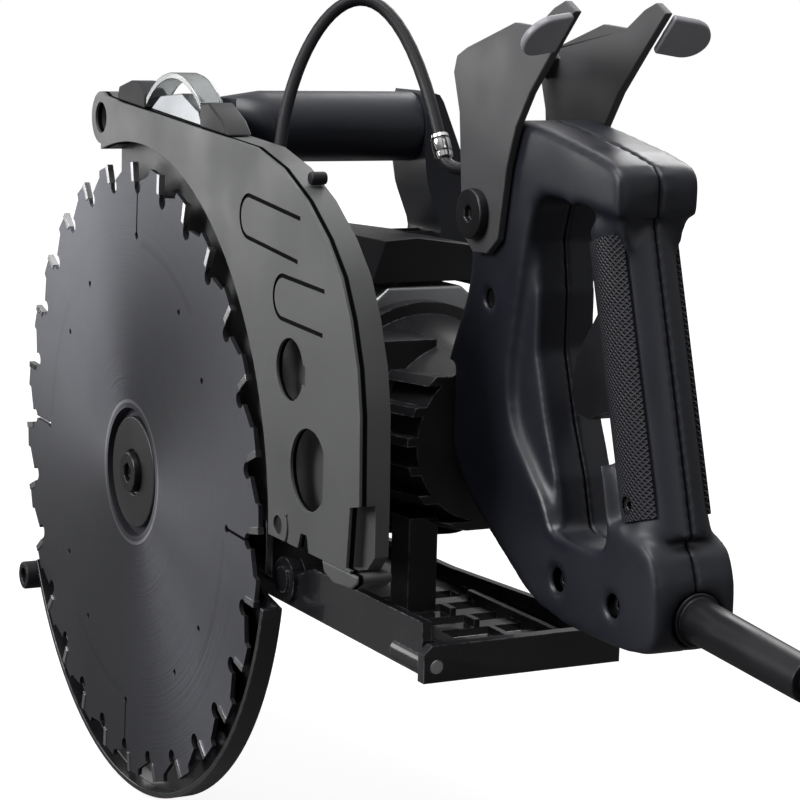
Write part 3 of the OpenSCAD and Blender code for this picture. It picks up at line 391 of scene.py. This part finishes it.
def finish(name, colour, roughness=0.5, metallic=0.0, grain=1500, bump=0.15, patch=22, spread=0.12,
           wear_and_sheen=None, wear_and_sheen_radius=0.7, rough_spread=0.1, coat=0.0, specular=0.5):
    """Principled material with grain, slow patches and lighter edges: wear, and on the ribbed housing also
    a painted highlight
    """
    if name in bpy.data.materials:
        return bpy.data.materials[name]
    material = bpy.data.materials.new(name)
    material.use_nodes = True
    g = Graph(material.node_tree)
    shader = material.node_tree.nodes["Principled BSDF"]
    surface = g.node("ShaderNodeGroup", node_tree=surface_group())
    surface.inputs["Grain"].default_value = grain
    surface.inputs["Patch"].default_value = patch
    patches = g.span(surface.outputs["Patches"], 0.35, 0.65)
    base = g.mix(patches, shade(colour, 1 - spread), shade(colour, 1 + spread))
    # Lighter edges: wear, and on the ribbed housing also a painted highlight
    if wear_and_sheen:
        edges = g.node("ShaderNodeGroup", node_tree=edge_wear_and_sheen_group())
        edges.inputs["Radius"].default_value = wear_and_sheen_radius * MM
        base = g.mix(edges.outputs["Edge"], base, wear_and_sheen)
    g.link(base, shader.inputs["Base Color"])
    rough = g.span(surface.outputs["Patches"], 0.35, 0.65,
                   roughness - rough_spread, roughness + rough_spread)
    g.link(rough, shader.inputs["Roughness"])
    shader.inputs["Metallic"].default_value = metallic
    shader.inputs["Coat Weight"].default_value = coat
    shader.inputs["Specular IOR Level"].default_value = specular
    bumps = g.node("ShaderNodeBump")
    bumps.inputs["Strength"].default_value = bump
    bumps.inputs["Distance"].default_value = 0.1 * MM
    g.link(surface.outputs["Height"], bumps.inputs["Height"])
    g.link(bumps.outputs[0], shader.inputs["Normal"])
    return material


# Engraved outlines on the guard's face: place of the round end, tilt in degrees, length
PLATES = ((-116, 118, 6, 44), (-147, 91.5, 3, 34))
# Colour of the painted shade in the engraved outlines and along the guard's joint gap, then the size of the
# outline bands
PAINTED_GROOVE_SHADE = (0.004, 0.004, 0.005)
GROOVE_RADIUS = 7.85
GROOVE_HALF_WIDTH = 0.8


def guard_paint():
    """Powder coat, with painted shade in the engraved outlines and painted shade along the gap between the
    guard's face and its rim
    """
    name = "guard powder coat"
    if name in bpy.data.materials:
        return bpy.data.materials[name]
    material = finish(name, looks().guard_colour, 0.42, grain=2200, bump=0.2, spread=0.06,
                      wear_and_sheen=shade(looks().guard_colour, 1.7), specular=0.35)
    tree = material.node_tree
    g = Graph(tree)
    shader = tree.nodes["Principled BSDF"]
    coloured = shader.inputs["Base Color"].links[0].from_socket
    split = g.node("ShaderNodeSeparateXYZ")
    g.link(g.node("ShaderNodeTexCoord").outputs["Object"], split.inputs[0])
    depth = split.outputs["X"]
    face = ARBOR.x
    # Painted shade: a dark band round the rim behind the face, where the gap between face and casting would
    # be shaded; the mesh has no groove there
    line = g.math("MULTIPLY", g.span(depth, face + 1.5 * MM, face + 1.8 * MM),
                  g.span(depth, face + 3.6 * MM, face + 3.2 * MM))
    facing = g.node("ShaderNodeSeparateXYZ")
    g.link(g.node("ShaderNodeNewGeometry").outputs["Normal"], facing.inputs[0])
    side = g.span(g.math("ABSOLUTE", facing.outputs["X"]), 0.8, 0.5)
    seam = g.math("MULTIPLY", line, side)
    # Painted shade in the engraved outlines
    for y, z, tilt, length in PLATES:
        seam = g.math("MAXIMUM", seam, groove(g, split, y, z, tilt, length))
    g.link(g.mix(seam, coloured, PAINTED_GROOVE_SHADE), shader.inputs["Base Color"])
    # A matt dark shader blended in under both painted shades, so that they reflect nothing
    painted_shade_matt = g.node("ShaderNodeBsdfDiffuse")
    painted_shade_matt.inputs["Color"].default_value = (*PAINTED_GROOVE_SHADE, 1)
    blend = g.node("ShaderNodeMixShader")
    g.link(seam, blend.inputs[0])
    g.link(shader.outputs[0], blend.inputs[1])
    g.link(painted_shade_matt.outputs[0], blend.inputs[2])
    g.link(blend.outputs[0], tree.nodes["Material Output"].inputs[0])
    return material


def groove(g, split, y, z, tilt, length):
    """Mask of painted shade in an engraved outline: a band round a slot's edge, open at one end"""
    turn = math.radians(tilt)
    centre = at(0, y, z)
    across = g.math("SUBTRACT", split.outputs["Y"], centre.y)
    up = g.math("SUBTRACT", split.outputs["Z"], centre.z)
    along = g.math("ADD", g.math("MULTIPLY", across, math.cos(turn)),
                   g.math("MULTIPLY", up, math.sin(turn)))
    side = g.math("SUBTRACT", g.math("MULTIPLY", up, math.cos(turn)),
                  g.math("MULTIPLY", across, math.sin(turn)))
    past = g.math("MAXIMUM", along, 0.0)
    radius = g.math("SQRT", g.math("ADD", g.math("MULTIPLY", past, past), g.math("MULTIPLY", side, side)))
    off = g.math("ABSOLUTE", g.math("SUBTRACT", radius, GROOVE_RADIUS * MM))
    near = g.math("LESS_THAN", off, GROOVE_HALF_WIDTH * MM)
    inside = g.math("GREATER_THAN", along, -length * MM)
    face = g.math("LESS_THAN", split.outputs["X"], ARBOR.x + 2.2 * MM)
    return g.math("MULTIPLY", g.math("MULTIPLY", near, inside), face)


def groove_shade_paint():
    # Near black, painted as the shade inside the engraved outlines
    return finish("groove black", (0.004, 0.004, 0.004), 0.8, grain=2200, bump=0.1, specular=0.05)


def handle_plastic():
    return finish("handle moulding", looks().handle_colour, 0.4, grain=2600, bump=0.22, spread=0.1,
                  wear_and_sheen=shade(looks().handle_colour, 1.6), specular=0.4)


def cast_metal():
    return finish("cast magnesium", looks().cast_colour, 0.32, 0.5, grain=900, bump=0.35, spread=0.12,
                  wear_and_sheen=shade(looks().cast_colour, 1.3))


def foot_paint():
    return finish("foot paint", looks().foot_colour, 0.26, grain=700, bump=0.15, spread=0.15,
                  wear_and_sheen=(0.22, 0.22, 0.23), coat=0.4, specular=0.4)


def black_oxide():
    return finish("black oxide", (0.018, 0.018, 0.02), 0.35, 0.6, grain=1200, bump=0.12,
                  wear_and_sheen=(0.2, 0.2, 0.2))


def turned_steel():
    return finish("turned steel", (0.52, 0.52, 0.53), 0.28, 1.0, grain=1400, bump=0.1, spread=0.08)


def black_moulding():
    return finish("black moulding", (0.009, 0.009, 0.011), 0.38, grain=2000, bump=0.2,
                  wear_and_sheen=(0.04, 0.04, 0.045), specular=0.3)


def fin_coat():
    # The light rib edges are edge wear and a painted highlight
    return finish("ribbed housing", (0.014, 0.014, 0.016), 0.3, grain=2000, bump=0.2,
                  wear_and_sheen=(0.2, 0.2, 0.21), wear_and_sheen_radius=0.9, specular=0.5)


def hook_paint():
    return finish("hook powder coat", (0.055, 0.055, 0.058), 0.45, grain=1800, bump=0.2, spread=0.08,
                  wear_and_sheen=(0.2, 0.2, 0.21), specular=0.35)


def rubber():
    return finish("black rubber", (0.007, 0.007, 0.009), 0.5, grain=2600, bump=0.25, spread=0.15,
                  specular=0.3)


def tab_lit_paint():
    # Painted light: the tabs share the hook's powder coat, and this lighter copy paints the light that
    # falls on them
    return finish("tab powder coat", (0.28, 0.28, 0.3), 0.4, grain=1800, bump=0.15, spread=0.08)


def flange_black():
    return finish("flange black", (0.022, 0.022, 0.024), 0.42, 0.4, grain=900, bump=0.12,
                  wear_and_sheen=(0.12, 0.12, 0.12))


def ground_carbide():
    return finish("ground carbide", (0.42, 0.42, 0.43), 0.25, 1.0, grain=2200, bump=0.08, spread=0.06)


def mirror_metal():
    return finish("bright plated metal", (0.75, 0.75, 0.76), 0.14, 1.0, grain=600, bump=0.04, spread=0.04,
                  rough_spread=0.04)


def dim_mirror():
    return finish("dim reflector", (0.2, 0.21, 0.22), 0.25, 1.0, grain=600, bump=0.04, spread=0.1)


def bronze():
    return finish("gear bronze", (0.46, 0.27, 0.09), 0.32, 1.0, grain=1500, bump=0.12)


def brass():
    return finish("plug brass", (0.62, 0.48, 0.22), 0.3, 1.0, grain=1500, bump=0.08)


def copper():
    return finish("commutator copper", (0.55, 0.27, 0.15), 0.3, 1.0, grain=1500, bump=0.1)


def bands(name, colour, across, metallic, roughness):
    """Finish with fine parallel bands, such as laminations or wound wire"""
    if name in bpy.data.materials:
        return bpy.data.materials[name]
    material = bpy.data.materials.new(name)
    material.use_nodes = True
    g = Graph(material.node_tree)
    shader = material.node_tree.nodes["Principled BSDF"]
    place = g.node("ShaderNodeTexCoord").outputs["Object"]
    wave = g.node("ShaderNodeTexWave", wave_type="BANDS", bands_direction=across)
    wave.inputs["Scale"].default_value = 320
    wave.inputs["Distortion"].default_value = 0.6
    g.link(place, wave.inputs["Vector"])
    # Painted shade: the valleys between the sheets or wires darker than their crowns
    g.link(g.mix(wave.outputs["Fac"], shade(colour, 0.45), shade(colour, 1.1)), shader.inputs["Base Color"])
    shader.inputs["Roughness"].default_value = roughness
    shader.inputs["Metallic"].default_value = metallic
    bumps = g.node("ShaderNodeBump")
    bumps.inputs["Strength"].default_value = 0.5
    bumps.inputs["Distance"].default_value = 0.2 * MM
    g.link(wave.outputs["Fac"], bumps.inputs["Height"])
    g.link(bumps.outputs[0], shader.inputs["Normal"])
    return material


def laminations():
    return bands("steel laminations", (0.3, 0.3, 0.31), "Y", 0.9, 0.45)


def windings():
    return bands("enamelled copper wire", (0.5, 0.19, 0.07), "X", 0.6, 0.3)


def clear_lens():
    """Clear moulded plastic of the lamp's cover"""
    name = "clear lens"
    if name in bpy.data.materials:
        return bpy.data.materials[name]
    material = finish(name, (0.36, 0.38, 0.38), 0.1, grain=300, bump=0.05, spread=0.03, rough_spread=0.04)
    shader = material.node_tree.nodes["Principled BSDF"]
    shader.inputs["Transmission Weight"].default_value = 0.9
    shader.inputs["IOR"].default_value = 1.45
    return material


def knurled_pad():
    """Rubber with a fine diamond knurl on both sides of the grip"""
    name = "knurled pad"
    if name in bpy.data.materials:
        return bpy.data.materials[name]
    material = finish(name, (0.012, 0.012, 0.017), 0.42, grain=2600, bump=0.2, spread=0.12, specular=0.3)
    tree = material.node_tree
    g = Graph(tree)
    shader = tree.nodes["Principled BSDF"]
    place = g.node("ShaderNodeTexCoord").outputs["Object"]
    split = g.node("ShaderNodeSeparateXYZ")
    g.link(place, split.inputs[0])
    tilt = math.tan(math.radians(16.7))
    slant = g.math("MULTIPLY_ADD", split.outputs["Z"], tilt)
    slant.node.inputs[2].default_value = 0
    across = g.math("SUBTRACT", split.outputs["Y"], slant)
    lines = math.tau / (1.9 * MM)
    first = g.math("SINE", g.math("MULTIPLY", g.math("ADD", across, split.outputs["Z"]), lines))
    second = g.math("SINE", g.math("MULTIPLY", g.math("SUBTRACT", across, split.outputs["Z"]), lines))
    height = g.math("MAXIMUM", first, second)
    bumps = g.node("ShaderNodeBump")
    bumps.inputs["Strength"].default_value = 0.8
    bumps.inputs["Distance"].default_value = 0.35 * MM
    g.link(height, bumps.inputs["Height"])
    grain = next(node for node in tree.nodes if node.type == "BUMP" and node != bumps)
    g.link(grain.outputs[0], bumps.inputs["Normal"])
    g.link(bumps.outputs[0], shader.inputs["Normal"])
    # Painted shade: the knurl's valleys darker than its ridges
    low, high = (0.004, 0.004, 0.006), (0.014, 0.014, 0.02)
    g.link(g.mix(g.span(height, -0.2, 0.9), low, high), shader.inputs["Base Color"])
    return material


def blade_coat():
    """Dark coat over circularly ground steel, with faint ground rings, fine laser marks and a painted
    highlight ring round the centre
    """
    name = "blade coat"
    if name in bpy.data.materials:
        return bpy.data.materials[name]
    material = bpy.data.materials.new(name)
    material.use_nodes = True
    tree = material.node_tree
    g = Graph(tree)
    shader = tree.nodes["Principled BSDF"]
    place = g.node("ShaderNodeTexCoord").outputs["Object"]
    offset = g.node("ShaderNodeVectorMath", operation="SUBTRACT")
    g.link(place, offset.inputs[0])
    offset.inputs[1].default_value = ARBOR
    split = g.node("ShaderNodeSeparateXYZ")
    g.link(offset.outputs[0], split.inputs[0])
    y, z = split.outputs["Y"], split.outputs["Z"]
    radius = g.math("SQRT", g.math("ADD", g.math("MULTIPLY", y, y), g.math("MULTIPLY", z, z)))
    angle = g.math("ARCTAN2", z, y)
    rings = g.node("ShaderNodeTexNoise", noise_dimensions="1D")
    rings.inputs["Scale"].default_value = 1400
    rings.inputs["Detail"].default_value = 4
    g.link(radius, rings.inputs["W"])
    patches = g.noise(place, 16, 5, 0.6)
    ground = g.math("MULTIPLY", g.span(rings.outputs[0], 0.3, 0.7, 0.86, 1.1),
                    g.span(patches, 0.35, 0.65, 0.9, 1.12))
    tint = g.mix(ground, (0.0, 0.0, 0.0), (0.115, 0.117, 0.132))
    hatch = g.math("SINE", g.math("MULTIPLY", angle, 420))
    band = g.math("MULTIPLY", g.math("GREATER_THAN", radius, 96 * MM), g.math("LESS_THAN", radius, 99 * MM))
    arc = g.math("GREATER_THAN", g.math("SINE", g.math("MULTIPLY", angle, 4)), 0.35)
    marks = g.math("MULTIPLY", g.math("MULTIPLY", band, arc), g.span(hatch, 0.2, 0.6, 0, 0.45))
    # Painted highlight: a lighter ring round the blade's centre, 29.2 to 30.6 mm from the arbor
    rim = g.math("MULTIPLY", g.math("GREATER_THAN", radius, 29.2 * MM),
                 g.math("LESS_THAN", radius, 30.6 * MM))
    dark = g.mix(marks, tint, (0.02, 0.02, 0.025))
    g.link(g.mix(g.math("MULTIPLY", rim, 0.5), dark, (0.4, 0.4, 0.42)), shader.inputs["Base Color"])
    shader.inputs["Metallic"].default_value = 0.9
    g.link(g.span(rings.outputs[0], 0.3, 0.7, 0.36, 0.47), shader.inputs["Roughness"])
    shader.inputs["Anisotropic"].default_value = 0.7
    tangent = g.node("ShaderNodeTangent", direction_type="RADIAL", axis="X")
    g.link(tangent.outputs[0], shader.inputs["Tangent"])
    bumps = g.node("ShaderNodeBump")
    bumps.inputs["Strength"].default_value = 0.12
    bumps.inputs["Distance"].default_value = 0.05 * MM
    g.link(rings.outputs[0], bumps.inputs["Height"])
    g.link(bumps.outputs[0], shader.inputs["Normal"])
    return material


def camera_axes(azimuth, elevation, roll):
    """Right, up and back directions of the camera"""
    a, e, r = (math.radians(v) for v in (azimuth, elevation, roll))
    back = Vector((math.sin(a) * math.cos(e), -math.cos(a) * math.cos(e), math.sin(e)))
    right = (-back).cross(Vector((0, 0, 1))).normalized()
    up = right.cross(-back)
    return (math.cos(r) * right + math.sin(r) * up, math.cos(r) * up - math.sin(r) * right, back)


class SAW_OT_stage(bpy.types.Operator):
    """Make the camera, lamps, world and pale floor"""

    bl_idname = "saw.stage"
    bl_label = "Stage"

    def execute(self, context):
        self.camera(context)
        self.lamps()
        self.world(context)
        self.floor()
        return {"FINISHED"}

    def camera(self, context):
        right, up, back = camera_axes(-27.8, 9.3, 1.5)
        bpy.ops.object.camera_add(location=at(-380.8, -963.4, 202.3))
        camera = context.object
        camera.name = "camera"
        camera.rotation_mode = "QUATERNION"
        rows = (right, up, back)
        matrix = camera.matrix_world.copy()
        for column, axis in enumerate(rows):
            for row in range(3):
                matrix[row][column] = axis[row]
        camera.matrix_world = matrix
        camera.data.sensor_width = 36
        camera.data.lens = 112.5
        camera.data.clip_start = 0.05
        camera.data.clip_end = 20
        context.scene.camera = camera

    def lamps(self):
        for name, place, size, power in (
            ("left lamp", (-1250, 0, 700), 0.9, 19),
            ("top lamp", (-250, -300, 1300), 0.8, 12),
            ("front lamp", (-480, 820, 160), 0.4, 1.5),
            ("back lamp", (900, 500, 900), 0.8, 7),
            ("low lamp", (250, -1400, 300), 0.7, 1),
        ):
            bpy.ops.object.light_add(type="AREA", location=at(*place))
            lamp = bpy.context.object
            lamp.name = name
            lamp.data.shape = "DISK"
            lamp.data.size = size
            lamp.data.energy = power
            direction = at(0, -80, 30) - lamp.location
            lamp.rotation_euler = direction.to_track_quat("-Z", "Y").to_euler()

    def world(self, context):
        context.scene.view_settings.view_transform = "Standard"
        world = bpy.data.worlds.new("studio")
        context.scene.world = world
        world.use_nodes = True
        g = Graph(world.node_tree)
        background = world.node_tree.nodes["Background"]
        background.inputs["Color"].default_value = (1, 1, 1, 1)
        rays = g.node("ShaderNodeLightPath")
        seen = g.math("MAXIMUM", rays.outputs["Is Camera Ray"], rays.outputs["Is Transmission Ray"])
        direction = g.node("ShaderNodeSeparateXYZ")
        g.link(g.node("ShaderNodeTexCoord").outputs["Generated"], direction.inputs[0])
        sky = g.span(direction.outputs["Z"], 0.05, 0.9, 0.1, 1.0)
        mirrored = g.math("MULTIPLY", rays.outputs["Is Glossy Ray"], sky)
        strength = g.math("MAXIMUM", g.math("MAXIMUM", seen, mirrored), 0.16)
        g.link(strength, background.inputs["Strength"])

    def floor(self):
        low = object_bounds()[0].z
        bpy.ops.mesh.primitive_plane_add(size=6, location=(0, 0, low - 0.5 * MM))
        floor = bpy.context.object
        floor.name = "floor"
        settle(floor)
        material = bpy.data.materials.new("pale floor")
        material.use_nodes = True
        g = Graph(material.node_tree)
        tree = material.node_tree
        shader = tree.nodes["Principled BSDF"]
        shader.inputs["Roughness"].default_value = 0.9
        shader.inputs["Specular IOR Level"].default_value = 0.1
        glow = g.node("ShaderNodeEmission")
        rays = g.node("ShaderNodeLightPath")
        seen = rays.outputs["Is Camera Ray"]
        g.link(g.mix(seen, (0.13, 0.13, 0.13), (0.9, 0.9, 0.9)), shader.inputs["Base Color"])
        blend = g.node("ShaderNodeMixShader")
        glow.inputs["Strength"].default_value = 1.3
        reach = g.node("ShaderNodeVectorMath", operation="LENGTH")
        g.link(g.node("ShaderNodeTexCoord").outputs["Object"], reach.inputs[0])
        white = g.span(reach.outputs["Value"], 0.5, 1.2, 0.66, 0.9)
        g.link(g.math("MULTIPLY", seen, white), blend.inputs[0])
        g.link(shader.outputs[0], blend.inputs[1])
        g.link(glow.outputs[0], blend.inputs[2])
        g.link(blend.outputs[0], tree.nodes["Material Output"].inputs[0])
        paint(floor, material)
        floor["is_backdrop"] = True


# Route of the cord from the strain relief to the floor, from the arbor on the blade's face
CORD_DROP = ((-371, -2), (-379, -2), (-388, -3), (-397, -7), (-405, -13), (-411, -21), (-415, -31),
             (-417, -43), (-418, -56), (-418, -70), (-419, -84), (-421, -97), (-426, -109), (-433, -119),
             (-442, -127), (-452, -131), (-461, -132.5), (-469, -132.5))
CORD_X = 75
CORD_D = 9
COIL = Vector((136, -477, 0))
TURN_RADII = (61, 51.7, 42.4, 42.4, 51.7, 61, 61, 51.7)
LAYERS = (-132.5, -132.5, -132.5, -123.2, -123.2, -123.2, -113.9, -113.9)
PLUG_END = Vector((91, -439, -96.6))


def ease(t):
    t = max(0.0, min(1.0, t))
    return t * t * (3 - 2 * t)


def cord_route():
    """Places of the cord's centre line, from its drop through the coil to the plug"""
    route = [at(CORD_X, y, z) for y, z in CORD_DROP]
    steps = 30
    leave_angle = math.radians(40)
    hop = CORD_D + 0.6
    for turn, (radius, level) in enumerate(zip(TURN_RADII, LAYERS)):
        end = turn == len(TURN_RADII) - 1
        for step in range(steps):
            part = step / steps
            if end and part * math.tau > math.pi + leave_angle:
                break
            move = 0 if end else ease((part - 0.72) / 0.28)
            out = radius if end else radius + (TURN_RADII[turn + 1] - radius) * move
            step_up = hop * ease((part - 0.52) / 0.1) if end else (LAYERS[turn + 1] - level) * move
            up = level + step_up
            angle = math.pi + part * math.tau
            route.append(at(COIL.x + out * math.cos(angle), COIL.y + out * math.sin(angle), up))
    bend = 35
    away = Vector((-math.sin(leave_angle), math.cos(leave_angle)))
    outward = Vector((math.cos(leave_angle), math.sin(leave_angle)))
    leave = Vector((COIL.x, COIL.y)) + TURN_RADII[-1] * outward
    turning = math.pi - leave_angle
    straight = (leave.x - PLUG_END.x) / -away.x - bend * math.tan(turning / 2)
    low = LAYERS[-1] + hop
    rise = PLUG_END.z - low
    for step in range(1, 5):
        spot = leave + away * straight * step / 5
        route.append(at(spot.x, spot.y, low + rise * 0.05 * step))
    start = leave + away * straight
    centre = start + bend * Vector((-away.y, away.x))
    for step in range(15):
        angle = leave_angle + turning * step / 14
        route.append(at(centre.x + bend * math.cos(angle), centre.y + bend * math.sin(angle),
                        low + rise * (0.25 + 0.75 * ease(step / 14))))
    route.append(at(PLUG_END.x, PLUG_END.y - 3, PLUG_END.z))
    return route


class SAW_OT_cord(bpy.types.Operator):
    """Lay the power cord, its tapered relief, its tie and its plug"""

    bl_idname = "saw.cord"
    bl_label = "Cord"

    def execute(self, context):
        relief = dress("cord_relief", black_moulding(), 0.5)
        plug = dress("cord_plug", rubber(), 0.5)
        self.metal_blades(plug)
        tie = dress("coil_tie", black_moulding(), 0.5)
        route = cord_route()
        cord = tube_curve("power_cord", route, CORD_D / 2 * MM, rubber())
        carry(cord, "cord_run", "cord_coil")
        return {"FINISHED"}

    def metal_blades(self, plug):
        plug.data.materials.append(brass())
        front = at(0, COIL.y - 22.3, 0).y
        for face in plug.data.polygons:
            if face.center.y < front:
                face.material_index = 1


class SAW_OT_blade(bpy.types.Operator):
    """Finish the blade, its carbide tips, flanges and bolt"""

    bl_idname = "saw.blade"
    bl_label = "Blade"

    def execute(self, context):
        dress("blade", blade_coat(), 0.12)
        dress("carbide_tips", ground_carbide(), 0.08)
        dress("outer_flange", flange_black(), 0.7)
        dress("blade_bolt", black_oxide(), 0.5)
        for node in ("inner_flange", "arbor_shaft"):
            coat(node, turned_steel())
        return {"FINISHED"}


class SAW_OT_guards(bpy.types.Operator):
    """Finish the upper guard and the turning lower guard"""

    bl_idname = "saw.guards"
    bl_label = "Guards"

    def execute(self, context):
        self.paint_groove_shade(dress("upper_guard", guard_paint(), 0.9, 3))
        dress("guard_heel", guard_paint(), 1.0)
        dress("guard_bolts", black_oxide(), 0.4)
        dress("lower_guard", foot_paint(), 0.4)
        dress("guard_bumper", rubber(), 0.8)
        dress("nose_ring", black_oxide(), 0)
        coat("guard_spring", turned_steel())
        return {"FINISHED"}

    def paint_groove_shade(self, guard):
        """Paints shade into the engraved outlines in the guard's face"""
        guard.data.materials.append(groove_shade_paint())
        surface, floor = ARBOR.x + 0.62 * MM, ARBOR.x + 1.35 * MM
        for face in guard.data.polygons:
            inside = surface < face.center.x < floor
            upright = abs(face.normal.x) < 0.6
            level = face.normal.x < -0.9 and face.center.x > surface + 0.3 * MM
            if inside and (upright or level):
                face.material_index = self.near_plates(face.center)

    def near_plates(self, place):
        spot = (place - ARBOR) / MM
        return int(any(abs(spot.y - y + 17) < 34 and abs(spot.z - z) < 15 for y, z, _, _ in PLATES))


class SAW_OT_lamp(bpy.types.Operator):
    """Finish the guard's lamp and its tall cable"""

    bl_idname = "saw.lamp"
    bl_label = "Lamp"

    def execute(self, context):
        dress("lamp_clips", rubber(), 0.8)
        dress("lamp_lens", clear_lens(), 0.3)
        dress("lamp_reflector", dim_mirror(), 0.4)
        route = self.route()
        radius = 2.4 * MM
        cable = tube_curve("lamp_cable_run", route, radius, rubber())
        low, high = at(62.2, -153, 142), at(62, -149, 150)
        plug = lathe("lamp_plug", ((-0.6, 2.6), (0, 3.4), (1.6, 3.6), (2.0, 3.2), (2.6, 3.6), (6.6, 3.6),
                                   (7.0, 3.2), (7.6, 3.6), (8.8, 3.4), (9.4, 2.6)),
                     low, high - low, mirror_metal())
        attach(plug, body_of("lamp_cable"))
        carry(cable, "lamp_cable")
        return {"FINISHED"}

    def route(self):
        """The loop from the guard's back to the plug, and the short lead on to the handle"""
        loop = (at(15, -110.7, 136), at(18, -104.2, 182.5), at(60, -100.5, 242.6), at(62, -149, 150))
        lead = (at(62.2, -153, 142), at(62.3, -155.8, 136.4), at(66, -172, 137), at(66, -188.4, 147.5))
        return [bow(step / 28, *loop) for step in range(29)] + [bow(step / 10, *lead) for step in range(11)]


def bow(t, a, b, c, d):
    """Place on a cubic curve between a and d"""
    u = 1 - t
    return u ** 3 * a + 3 * u * u * t * b + 3 * u * t * t * c + t ** 3 * d


class SAW_OT_housing(bpy.types.Operator):
    """Finish the gear housing, motor barrel and ribbed rear housing"""

    bl_idname = "saw.housing"
    bl_label = "Housing"

    def execute(self, context):
        dress("gear_housing", cast_metal(), 1.0)
        dress("gear_cover", cast_metal(), 1.0)
        dress("motor_barrel", cast_metal(), 1.6, 3)
        dress("fin_housing", fin_coat(), 0.8)
        dress("housing_screws", black_oxide(), 0.5)
        return {"FINISHED"}


class SAW_OT_motor(bpy.types.Operator):
    """Finish the motor, worm gear and bearings inside"""

    bl_idname = "saw.motor"
    bl_label = "Motor and gears"

    def execute(self, context):
        for node, material in (
            ("worm_wheel", bronze()), ("worm", turned_steel()), ("motor_shaft", turned_steel()),
            ("armature_core", laminations()), ("field_stator", laminations()),
            ("armature_windings", windings()), ("commutator", copper()), ("fan", black_moulding()),
            ("brush_gear", black_moulding()), ("motor_bearings", turned_steel()),
            ("arbor_bearings", turned_steel()),
            ("switch_block", black_moulding()),
        ):
            coat(node, material)
        return {"FINISHED"}


class SAW_OT_rear_handle(bpy.types.Operator):
    """Mould the rear handle's two shells with their knurled pads, trigger and screws"""

    bl_idname = "saw.rear_handle"
    bl_label = "Rear handle"

    def execute(self, context):
        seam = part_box("handle_right")[0].x
        for node in ("handle_left", "handle_right"):
            mould(node, handle_plastic(), 1.25, 26,
                  lambda place: max(0.06, min(1.0, (abs(place.x - seam) / MM - 3) / 6)))
        dress("grip_pads", knurled_pad(), 0.5)
        dress("trigger", black_moulding(), 1.6, 4)
        dress("handle_screws", black_oxide(), 0.4)
        return {"FINISHED"}


class SAW_OT_top_handle(bpy.types.Operator):
    """Finish the top handle's bar, arm and bracket"""

    bl_idname = "saw.top_handle"
    bl_label = "Top handle"

    def execute(self, context):
        dress("top_handle_bar", handle_plastic(), 1.8, 4)
        dress("top_handle_arm", handle_plastic(), 2.2, 4)
        dress("handle_bracket", black_moulding(), 1.0, 3)
        return {"FINISHED"}


class SAW_OT_hook(bpy.types.Operator):
    """Finish the rafter hook and its pivot bolt"""

    bl_idname = "saw.hook"
    bl_label = "Rafter hook"

    def execute(self, context):
        dress("rafter_hook", hook_paint(), 0.7, 3)
        dress("hook_tabs", tab_lit_paint(), 1.0, 3)
        dress("hook_pivots", black_oxide(), 0.6)
        return {"FINISHED"}


class SAW_OT_foot(bpy.types.Operator):
    """Finish the foot, its rail, strut, quadrant and levers"""

    bl_idname = "saw.foot"
    bl_label = "Foot"

    def execute(self, context):
        for node in ("foot_plate", "tilt_rail"):
            dress(node, foot_paint(), 0.7)
        dress("bevel_quadrant", foot_paint(), 0.5)
        for node in ("depth_strut", "depth_clamp", "foot_pins"):
            dress(node, turned_steel(), 0.3)
        for node in ("bevel_lever", "depth_lever"):
            dress(node, black_moulding(), 0.9)
        dress("spindle_lock", black_moulding(), 0.8)
        spring = dress("lock_spring", turned_steel(), 0)
        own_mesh(spring)
        return {"FINISHED"}


class SAW_PT_panel(bpy.types.Panel):
    """Lists the steps that finish the saw"""

    bl_label = "Worm Drive Saw"
    bl_idname = "SAW_PT_panel"
    bl_space_type = "VIEW_3D"
    bl_region_type = "UI"
    bl_category = "Saw"

    def draw(self, context):
        for step in STEPS:
            self.layout.operator(step.bl_idname)


STEPS = (SAW_OT_stage, SAW_OT_cord, SAW_OT_blade, SAW_OT_guards, SAW_OT_lamp, SAW_OT_housing, SAW_OT_motor,
         SAW_OT_rear_handle, SAW_OT_top_handle, SAW_OT_hook, SAW_OT_foot)
CLASSES = (SawLooks, *STEPS, SAW_PT_panel)


def register():
    for each in CLASSES:
        bpy.utils.register_class(each)
    bpy.types.Scene.saw_looks = PointerProperty(type=SawLooks)


def unregister():
    del bpy.types.Scene.saw_looks
    for each in reversed(CLASSES):
        bpy.utils.unregister_class(each)


def main():
    register()
    bpy.ops.saw.stage()
    bpy.ops.saw.cord()
    bpy.ops.saw.blade()
    bpy.ops.saw.guards()
    bpy.ops.saw.lamp()
    bpy.ops.saw.housing()
    bpy.ops.saw.motor()
    bpy.ops.saw.rear_handle()
    bpy.ops.saw.top_handle()
    bpy.ops.saw.hook()
    bpy.ops.saw.foot()


if __name__ == "__main__":
    main()
